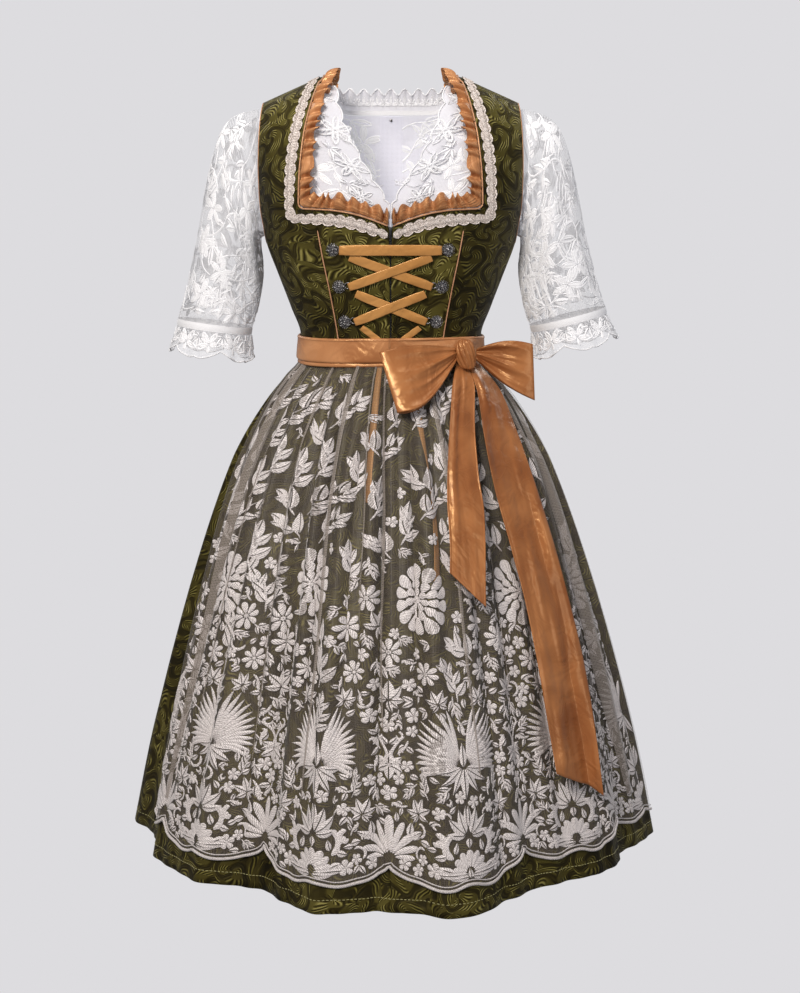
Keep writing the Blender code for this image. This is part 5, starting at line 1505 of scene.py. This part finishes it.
def loop_points(side, creases, seed):
    """A strip that goes out, round the tip and back; creases run out from the knot and die away."""
    pinch, tip, belly = (array(LOOPS[side][key]) for key in ("pinch", "tip", "belly"))
    turn = radians(linspace(168.0, -168.0, 121))[:, None, None]
    width = linspace(0.0, 1.0, 49)[None, :, None]
    out = (1.0 + cos(turn)) / 2.0
    near = pinch[0] * (1.0 - width) + pinch[1] * width
    far = tip[0] * (1.0 - width) + tip[1] * width
    swell = belly[0] * (1.0 - width) + belly[1] * width
    centre = near * (1.0 - out) + far * out + swell * sin(pi * out)
    facing = np.cross(tip[1] - tip[0], tip.mean(axis=0) - pinch.mean(axis=0))
    facing = unit(facing if facing[1] < 0.0 else -facing)
    depth = LOOP_DEPTH * sin(turn) * (0.35 + 0.65 * out)
    wave = 0.0
    for k, (count, size, shift) in enumerate(creases):
        hill = sin(pi * (count * width + shift) + 0.9 * out * (k - 1) + seed)
        wave = wave + size * (1.0 - 2.0 * np.abs(hill) ** 0.8)
    fade = sin(pi * clip(out, 0.0, 1.0) ** 0.7) ** 0.9 * (1.0 - 0.65 * out)
    tuck = 0.0009 * sin(14.0 * width + seed) * exp(-(out / 0.22) ** 2)
    bend = 0.0016 * sin(2.6 * pi * out + 2.0 * width) * (1.0 - out)
    points = centre + facing * (depth + wave * fade + tuck + bend)
    points = np.transpose(points, (1, 0, 2))
    return points[:, ::-1] if side == "left" else points


for side, creases, seed in (("left", ((2.0, 0.0034, 0.1), (3.6, 0.0016, 0.4), (7.0, 0.0006, 0.0)), 0.4),
        ("right", ((2.3, 0.0036, 0.5), (4.1, 0.0016, 0.1), (8.0, 0.0005, 0.3)), 1.3)):
    loop = cloth(f"bow_loop_{side}", loop_points(side, creases, seed), copper, 0.0007, outwards=False)

# %% The tails
# height, left x, right x
TAILS = {
    "short": ((-0.3850, 0.0895, 0.1030),
              (-0.4200, 0.0815, 0.1150),
              (-0.4650, 0.0785, 0.1145),
              (-0.5160, 0.0765, 0.1165),
              (-0.5600, 0.0748, 0.1225),
              (-0.6060, 0.0762, 0.1245),
              (-0.6424, 0.0764, 0.1255)),
    "long": ((-0.3830, 0.1045, 0.1155),
             (-0.4220, 0.1165, 0.1500),
             (-0.4750, 0.1240, 0.1730),
             (-0.5370, 0.1370, 0.1950),
             (-0.6215, 0.1610, 0.2210),
             (-0.6910, 0.1790, 0.2400),
             (-0.7670, 0.1930, 0.2600),
             (-0.8320, 0.2035, 0.2735),
             (-0.9105, 0.2178, 0.2860))}
TAIL_SLANT = {"short": 0.0450, "long": 0.0400}  # how much lower the cut end is at its right edge
TAIL_LIFT = 0.0060
BRIDGED = 5  # skirt columns on each side of a point that the tails' skin spans
SINKS = 0.35  # how much of a tail's fold is left where it goes towards the skirt
# waves across, depth, drift
TAIL_FOLDS = {"short": ((0.9, 0.0022, 2.0), (2.3, 0.0014, -3.0), (4.0, 0.0004, 4.0)),
    "long": ((0.8, 0.0034, 8.0), (1.5, 0.0026, -15.0), (2.8, 0.0011, 24.0))}


def skirt_front(x, height, lift):
    """Depth of a smooth skin that bridges the skirt's folds, in front of it by lift."""
    table = [(-row[0], *row[1:]) for row in SKIRT]
    a, b, fold = (smooth(table, k, -height) for k in (1, 2, 4))
    middle = np.degrees(np.arcsin(clip(x / a, -0.97, 0.97)))
    depth = 0.0
    for shift in arange(-BRIDGED, BRIDGED + 1) * 360.0 / SKIRT_COLUMNS:
        extra = fold * folds_at(middle + shift)
        share = clip(x / (a + extra + lift), -0.999, 0.999)
        depth = maximum(depth, (b + extra + lift) * np.sqrt(1.0 - share ** 2))
    return -depth


def tail_points(name):
    """A strip between two edges from TAILS, with long folds as sines across it and narrow hems.

    It clears the apron by the small folds' reach and the gathers' depth, and is tucked at its top
    into the knot, by a share that fades over the first centimetres.
    """
    table = TAILS[name]
    share = linspace(0.0, 1.0, 161)
    rows = [(float(k), *row) for k, row in enumerate(table)]
    height, left, right = (smooth(rows, k, share * (len(table) - 1)) for k in (1, 2, 3))
    width = linspace(0.0, 1.0, 41)
    x = left[:, None] * (1.0 - width) + right[:, None] * width
    z = height[:, None] - TAIL_SLANT[name] * share[:, None] ** 3 * width
    gather = smooth([(-row[0], row[3]) for row in SKIRT], 1, -z)
    crest = 1.4 * ripple_at(z) + gather
    y = skirt_front(x, z, SKIRT_WALL + APRON_GAP + 0.0010 + TAIL_LIFT) - crest
    down = share[:, None]
    wave = sum(size * sin(2.0 * pi * count * width + drift * down)
        for count, size, drift in TAIL_FOLDS[name])
    wave = where(wave < 0.0, SINKS * wave, wave)
    grow = clip(down / 0.12, 0.0, 1.0)
    edge = minimum(width, 1.0 - width)
    hem = 0.0006 * exp(-((edge - 0.045) / 0.012) ** 2)
    y = y - grow * (wave + 0.0012) + hem
    size = KNOT_SIZE + 4.0 * SEAM
    foot = np.sqrt(1.0 - ((x[0] - KNOT_PLACE[0]) / size[0]) ** 2)
    tuck = clip(1.0 - down / 0.035, 0.0, 1.0) ** 2
    z = z * (1.0 - tuck) + (KNOT_PLACE[2] - size[2] * foot) * tuck
    y = y * (1.0 - tuck) + KNOT_PLACE[1] * tuck - 0.0030 * exp(-((down - 0.06) / 0.05) ** 2)
    x = x + 0.0012 * grow * sin(9.0 * down + 2.0 * width)
    return stack((x, y, z), axis=-1)


for name, length, area in (("short", 0.30, 0.54 * 0.080 * 0.30),
        ("long", 0.60, 0.54 * 0.080 * 0.60 * 1.25)):
    tail = cloth(f"bow_tail_{name}", tail_points(name), copper, 0.0007)
print("bow pieces", 5)

# %% [markdown]
# ## The blouse
# A cropped blouse of white lace is worn under the bodice: net with leaves, vines and flowers worked
# on it, a deep flower edging round the heart-shaped neck, a standing frill at the back of the neck,
# and sleeves to the elbow with a plain band and a deep scalloped edge. The body's lace is denser than
# the sleeves', which are sheer. The back is seen from its inside through the neck, so it has motifs on
# that side too.

# %% Sizes of the blouse
# drop, half width of the front opening
BLOUSE_V = (
    (0.000, 0.0900), (0.030, 0.0860), (0.060, 0.0780), (0.100, 0.0600), (0.140, 0.0360),
    (0.175, 0.0130), (0.195, 0.0012), (0.260, 0.0012))
BLOUSE_UNDERARM, BLOUSE_HEM, BACK_NECK, NECK_SHARE = 0.212, 0.252, 0.0430, 0.32
COLLAR_HALF, COLLAR_HEIGHT, COLLAR_WAVE = 0.0770, 0.0320, 0.0045
# outer x and z, inner x and z, half depth
SLEEVE = (
    (0.2040, -0.0450, 0.1802, -0.2160, 0.0430),
    (0.2240, -0.0570, 0.1804, -0.2195, 0.0490),
    (0.2400, -0.0830, 0.1806, -0.2250, 0.0520),
    (0.2520, -0.1230, 0.1806, -0.2330, 0.0530),
    (0.2620, -0.1700, 0.1800, -0.2450, 0.0530),
    (0.2710, -0.2150, 0.1800, -0.2620, 0.0530),
    (0.2820, -0.2600, 0.1815, -0.2850, 0.0535),
    (0.2920, -0.3000, 0.1860, -0.3120, 0.0545),
    (0.2990, -0.3260, 0.1950, -0.3400, 0.0550))
CUFF_BAND, CUFF_LACE, CUFF_WAVES, CUFF_WAVE = 0.0100, 0.0330, 5, 0.0050
CUFF_RISE = {"left": 0.000, "right": 0.016}  # the sleeve on the bow's side is pushed up a little
ARMHOLE_DROPS = array((0.0, 0.006, 0.022, 0.048, 0.080, 0.115, 0.150, 0.180, 0.200, BLOUSE_UNDERARM))
blouse_drops = finer(concatenate((ARMHOLE_DROPS, (0.232, BLOUSE_HEM))), 6)


# %% Lace motifs and how they are strewn
def outlined(count, length, spread, wire=1.5, start=90.0, span=360.0):
    """Petals drawn by their edges: two bowed cords from the middle to each tip."""
    plain = ring_of(count, 1.5, length, wire, STEM, start, span)
    sides = []
    for turn in (spread, -spread):
        side = plain.copy()
        side[:, 2] += turn
        side[:, 5] = -2.0 * turn
        sides.append(side)
    return together(*sides)


lace_flower = together(outlined(5, 18.0, 38.0, 2.1), ring_of(5, 3.0, 12.0, 8.6), ring_of(5, 0.5, 4.0, 3.0))
lace_leaf = together(outlined(3, 24.0, 26.0, 1.9, 90.0, 110.0), shape(0, 2, 90, 19, 6.0),
    shape(0, 0, 35, 18, 5.6), shape(0, 0, 145, 18, 5.6), shape(0, 0, -90, 30, 2.0, 40, STEM))
lace_vine = together(shape(0, 0, 60, 46, 2.0, -70, STEM), shape(0, 0, -120, 40, 2.0, -60, STEM),
    shape(8, 14, 110, 17, 8.4, 20), shape(18, 22, 20, 17, 8.4, -20),
    shape(-8, -12, -60, 17, 8.4, 20), shape(-14, -18, 170, 15, 7.5, -20),
    shape(4, 5, -10, 14, 7.0, 10), shape(-3, -4, 150, 14, 7.0, 10))
lace_spray = together(sprig(3, 10.0, 15.0, 7.4, 20.0), shape(0, 0, -80, 26, 1.8, 50, STEM))
LACE_MOTIFS = (lace_flower, lace_vine, lace_spray, lace_leaf, lace_vine, lace_flower, lace_spray)


def strewn(ground, spacing, size, seed):
    """Places about spacing apart on a staggered net, shaken, turned and chosen by a hash of sines."""
    tall = norm(np.diff(ground, axis=0), axis=-1).mean(axis=1)
    wide = norm(np.diff(ground, axis=1), axis=-1).mean(axis=1).sum() / len(ground)
    rows = max(1, round(tall.sum() / spacing))
    columns = max(1, round(wide * (ground.shape[1] - 1) / spacing))
    down = concatenate(([0.0], np.cumsum(tall)))
    for i in range(rows):
        for j in range(columns):
            dice = [math.modf(abs(math.sin(12.9898 * (i + seed) + 78.233 * j + k)) * 437.58)[0]
                for k in (1, 2, 3, 4)]
            row = np.interp((i + 0.5 + 0.5 * (dice[0] - 0.5)) / rows * down[-1], down, arange(len(down)))
            column = (j + (0.5 if i % 2 else 0.0) + 0.5 * dice[1]) / columns * (ground.shape[1] - 1)
            motif = LACE_MOTIFS[(2 * i + 3 * j + seed) % len(LACE_MOTIFS)]
            yield motif, row, column, 360.0 * dice[2], size * (0.85 + 0.3 * dice[3])


LACE_LIFT = (0.0001, 0.0006)  # metres from the net to a motif's edge and to its crest


def lace(name, ground, spacing, size, seed, finish, closed=False):
    """A piece of net with its motifs sewn on the side that faces out."""
    base = cloth(name, ground, finish, closed=closed)
    round_ground = concatenate((ground, ground[:, :2]), axis=1) if closed else ground
    work = sew(f"{name}_work", round_ground, list(strewn(round_ground, spacing, size, seed)), white_thread,
        lift=LACE_LIFT)
    return base, work


# %% Body of the blouse
def blouse_edge(drops, front=True):
    """Angle of the blouse's armhole, which reaches further out than the bodice's."""
    edge = armhole_angle(drops, front)
    reach = 0.35 + 0.65 * clip((drops - BLOUSE_UNDERARM + 0.05) / 0.05, 0.0, 1.0)
    return edge + (90.0 - edge) * reach


def back_neck_drop(share):
    """Drop of the back neckline at a share of the way from the middle to the side."""
    return BACK_NECK * clip(1.0 - (np.abs(share) / NECK_SHARE) ** 8, 0.0, 1.0)


inner = angle_of(smooth(BLOUSE_V, 1, blouse_drops), blouse_drops)
angles, drops = between(inner, blouse_edge(blouse_drops) - seam_angle(0.17), blouse_drops, 49)
front = figure(angles, drops, BLOUSE_LIFT)
for side, points, seed in (("right", front, 1), ("left", (front * MIRROR)[:, ::-1], 4)):
    base, work = lace(f"blouse_front_{side}", points, 0.036, 1.25, seed, fine_lace)

share = steps_along(161, 1.0, -1.0)
top = back_neck_drop(share)
drops = top + blouse_drops[:, None] * (BLOUSE_HEM - top) / BLOUSE_HEM
edge = blouse_edge(blouse_drops, front=False) + seam_angle(0.17)
angles = (180.0 - (180.0 - edge[:, None]) * np.abs(share)) * where(share < 0.0, -1.0, 1.0)
back = figure(angles, drops, BLOUSE_LIFT)
base, work = lace("blouse_back", back, 0.036, 1.3, 2, back_lace)
sew("blouse_back_inner_work", back[:, ::-1], list(strewn(back, 0.040, 1.4, 5)), back_thread, lift=LACE_LIFT)
placket_drops = steps_down(60, BACK_NECK + 0.001, BLOUSE_HEM)
placket = figure(180.0 + steps_along(9, -2.6, 2.6), placket_drops, BLOUSE_LIFT - 0.0008)
cloth("blouse_back_placket", placket[:, ::-1], back_lace)
button = bead(0.0022, tall=0.5)
turned = stack((button[..., 0], -button[..., 2], button[..., 1]), axis=-1)
place = figure(180.0, BACK_NECK + 0.006, BLOUSE_LIFT - 0.0014)
mesh_piece("blouse_back_hook", (place + turned).reshape(-1, 3), grid_faces(*button.shape[:2], closed=True),
    button.reshape(-1, 3)[:, :2], aged_silver)

# %% Edging of the front neck and the frill at the back of the neck
drops = linspace(0.010, 0.190, 121)
edge = smooth(BLOUSE_V, 1, drops)
lobes = np.abs(sin(linspace(0.0, 7.0 * pi, 121))) ** 0.6
inner = maximum(edge - 0.0105 - 0.0060 * lobes, 0.0016)
across = steps_along(15)
half = inner[:, None] * (1.0 - across) + (edge[:, None] + 0.009) * across
trim = figure(angle_of(half, drops[:, None]), drops[:, None] + 0.0 * half, BLOUSE_LIFT + 0.0019)
reach = steps_along(41)
half = (maximum(edge[:, None] - 0.036, 0.0015) * (1.0 - reach) + (edge[:, None] + 0.034) * reach)
trim_ground = figure(angle_of(half, drops[:, None]), drops[:, None] + 0.0 * half, BLOUSE_LIFT + 0.0024)
big_flower = together(outlined(6, 23.0, 38.0, 2.6), outlined(6, 13.0, 30.0, 1.6), ring_of(6, 0.5, 5.0, 3.8))
flowers = [(big_flower, 12.0, 24.0, 10.0, 0.80), (big_flower, 42.0, 21.0, 40.0, 1.06),
    (big_flower, 74.0, 23.0, 5.0, 1.00), (big_flower, 101.0, 27.0, 50.0, 0.74)]
sprays = [(cluster, 26.0, 30.0, 150.0, 0.70), (cluster, 58.0, 32.0, 170.0, 0.75),
    (cluster, 90.0, 33.0, 200.0, 0.7), (lace_spray, 57.0, 12.0, 20.0, 0.7),
    (lace_spray, 91.0, 14.0, 60.0, 0.6)]
for side, points, below in (("right", trim, trim_ground),
        ("left", (trim * MIRROR)[:, ::-1], (trim_ground * MIRROR)[:, ::-1])):
    base = cloth(f"blouse_neck_trim_{side}", points, fine_lace)
    column = 40.0 if side == "left" else 0.0
    places = [(m, row, abs(column - c), turn, size) for m, row, c, turn, size in flowers + sprays]
    work = sew(f"blouse_neck_trim_{side}_work", below, places, white_thread, lift=(0.0002, 0.0012))
    edge_line = points[:, 0 if side == "right" else -1] + (0.0, -0.0006, 0.0)
    cord_piece(f"blouse_neck_cord_{side}", edge_line, 0.0011, white_thread, 6)

turn = 180.0 - blouse_edge(np.zeros(1), front=False)[0]
half = linspace(COLLAR_HALF, -COLLAR_HALF, 193)
share = (180.0 - angle_of(np.abs(half), 0.0 * half, front=False)) / turn
foot = figure((180.0 - turn * share) * where(half < 0.0, -1.0, 1.0), back_neck_drop(share),
    BLOUSE_LIFT + 0.0013)
lobes = cos(linspace(0.0, 16.0 * pi, 193))
rise = COLLAR_HEIGHT + COLLAR_WAVE * where(lobes > 0, np.abs(lobes) ** 0.8, -np.abs(lobes) ** 1.5)
up = steps_down(19, 1.0, 0.0)
frill = broadcast_to(foot, (19, 193, 3)).copy()
frill[..., 2] += up * rise
flutter = sin(linspace(0.0, 30.0 * pi, 193))
frill[..., 1] += 0.0015 * sin(pi * up) + 0.0016 * up ** 2 * flutter
base = cloth("blouse_collar", frill, fine_lace)
petals = together(outlined(3, 13.0, 26.0, 1.5, 90.0, 90.0), ring_of(3, 1.0, 9.0, 4.2, PETAL, 90.0, 90.0))
collar_places = [(petals, 12.0, 24.0 * k, 0.0, 1.05) for k in range(9)]
collar_places += [(small_flower, 7.0, 12.0 + 24.0 * k, 0.0, 0.62) for k in range(8)]
work = sew("blouse_collar_work", frill, collar_places, white_thread)
back_work = sew("blouse_collar_inner_work", frill[:, ::-1], collar_places, white_thread)
cord_piece("blouse_collar_cord", frill[0], 0.0010, white_thread, 6)
band_rows = array((0.0062, 0.0))[:, None]
stand = broadcast_to(foot, (2, 193, 3)).copy()
stand[..., 2] += band_rows
stand[..., 1] -= 0.0012
cloth("blouse_collar_band", stand, white_thread)

# %% Sleeves, cuff bands and cuff lace
def armhole_ring():
    """The ring that is sewn into the armhole on the bow's side, from the shoulder round by the front."""
    drops = ARMHOLE_DROPS - where(ARMHOLE_DROPS >= BLOUSE_UNDERARM, 3.0 * SEAM, 0.0)
    turn = 2.0 * seam_angle(0.17)
    front = minimum(blouse_edge(drops) + turn, 90.0)
    back = maximum(blouse_edge(drops, front=False) - turn, 90.0)
    around = concatenate((drops, drops[-2:0:-1]))
    return figure(concatenate((front, back[-2:0:-1])), around, BLOUSE_LIFT + 0.0010 + SEAM)


def sleeve_points(rise):
    """Ellipses from SLEEVE's rows below the armhole, joined down the arm by a cubic, with soft folds."""
    ring = armhole_ring()
    sides = 144
    closed_ring = concatenate((ring[-2:], ring, ring[:3]))
    rings = [spline(closed_ring, 2.0 + arange(sides) * len(ring) / sides)]
    turns = (arange(sides) * 2.0 * pi / sides)[:, None]
    for number, (outer_x, outer_z, inner_x, inner_z, half_depth) in enumerate(SLEEVE, start=1):
        lift = rise * (number / len(SLEEVE)) ** 2
        outer = array((outer_x + 0.1 * lift, 0.0, outer_z + lift))
        inner = array((inner_x, 0.0, inner_z + 0.2 * lift))
        rings.append((outer + inner) / 2.0 + cos(turns) * (outer - inner) / 2.0
            - sin(turns) * array((0.0, half_depth, 0.0)))
    body_rows = spline(array(rings), linspace(0.0, len(SLEEVE), 109))
    down = steps_down(109)
    angle = turns[:, 0][None, :]
    out = unit(body_rows - body_rows.mean(axis=1, keepdims=True))
    gather = 0.0012 * cos(22.0 * angle) * (exp(-((down - 0.06) / 0.05) ** 2)
        * (0.5 + 0.5 * cos(angle)) + exp(-((1 - down) / 0.10) ** 2))
    fold = (0.0028 * sin(3.0 * angle + 5.0 * down) * sin(pi * down)
        + 0.0016 * sin(7.0 * angle - 7.0 * down + 1.0) * sin(pi * down))
    ends = clip(down / 0.03, 0.0, 1.0) * clip((1.0 - down) / 0.01, 0.0, 1.0)
    return body_rows + out * ((gather - 0.0010 + fold) * ends)[..., None]


for side, rise in CUFF_RISE.items():
    turn_back = (lambda p: p[:, ::-1]) if side == "right" else (lambda p: p * MIRROR)
    body_points = sleeve_points(rise)
    base, work = lace(f"blouse_sleeve_{side}", turn_back(body_points), 0.0305, 1.18, 3, white_net, True)
    last = body_points[-1]
    across = last[0] - last[len(last) // 2]
    fall = unit(array((across[2], 0.0, -across[0])))
    out = last - last.mean(axis=0)
    turns = (arange(144) * 2.0 * pi / 144)[:, None]
    down = linspace(0.0, 1.0, 9)[:, None, None]
    band = last + fall * (SEAM + CUFF_BAND * down) + 0.006 * out * sin(pi * down)
    cloth(f"cuff_band_{side}", turn_back(band), white_thread, closed=True)
    petal = np.abs(sin(5.0 * turns)) ** 0.55
    deep = CUFF_LACE - 0.004 + CUFF_WAVE * cos(CUFF_WAVES * turns) + 0.0055 * petal
    flare = 0.12 * down + 0.035 * down * cos(15.0 * turns)
    edge_points = band[-1] + fall * SEAM + fall * deep * down + out * flare
    edge_points = turn_back(edge_points)
    base = cloth(f"cuff_lace_{side}", edge_points, white_net, closed=True)
    wide = concatenate((edge_points, edge_points[:, :2]), axis=1)
    step = 144.0 / 10.0
    petals = together(outlined(5, 19.0, 36.0, 3.2, -90.0, 288.0),
        ring_of(5, 1.5, 11.0, 6.8, PETAL, -90.0, 288.0))
    places = [(petals, 3.9, (k + 0.5) * step, 0.0, 1.0) for k in range(10)]
    places += [(cluster, 2.0, k * step + 1.0, 180.0, 0.62) for k in range(10)]
    work = sew(f"cuff_lace_{side}_work", wide, places, white_thread)
    cord_piece(f"cuff_lace_cord_{side}", concatenate((edge_points[-1], edge_points[-1, :1])), 0.0011,
        white_thread, 6)
print("blouse made")

# %% [markdown]
# ## Finish

# %% The end
print("scene made")
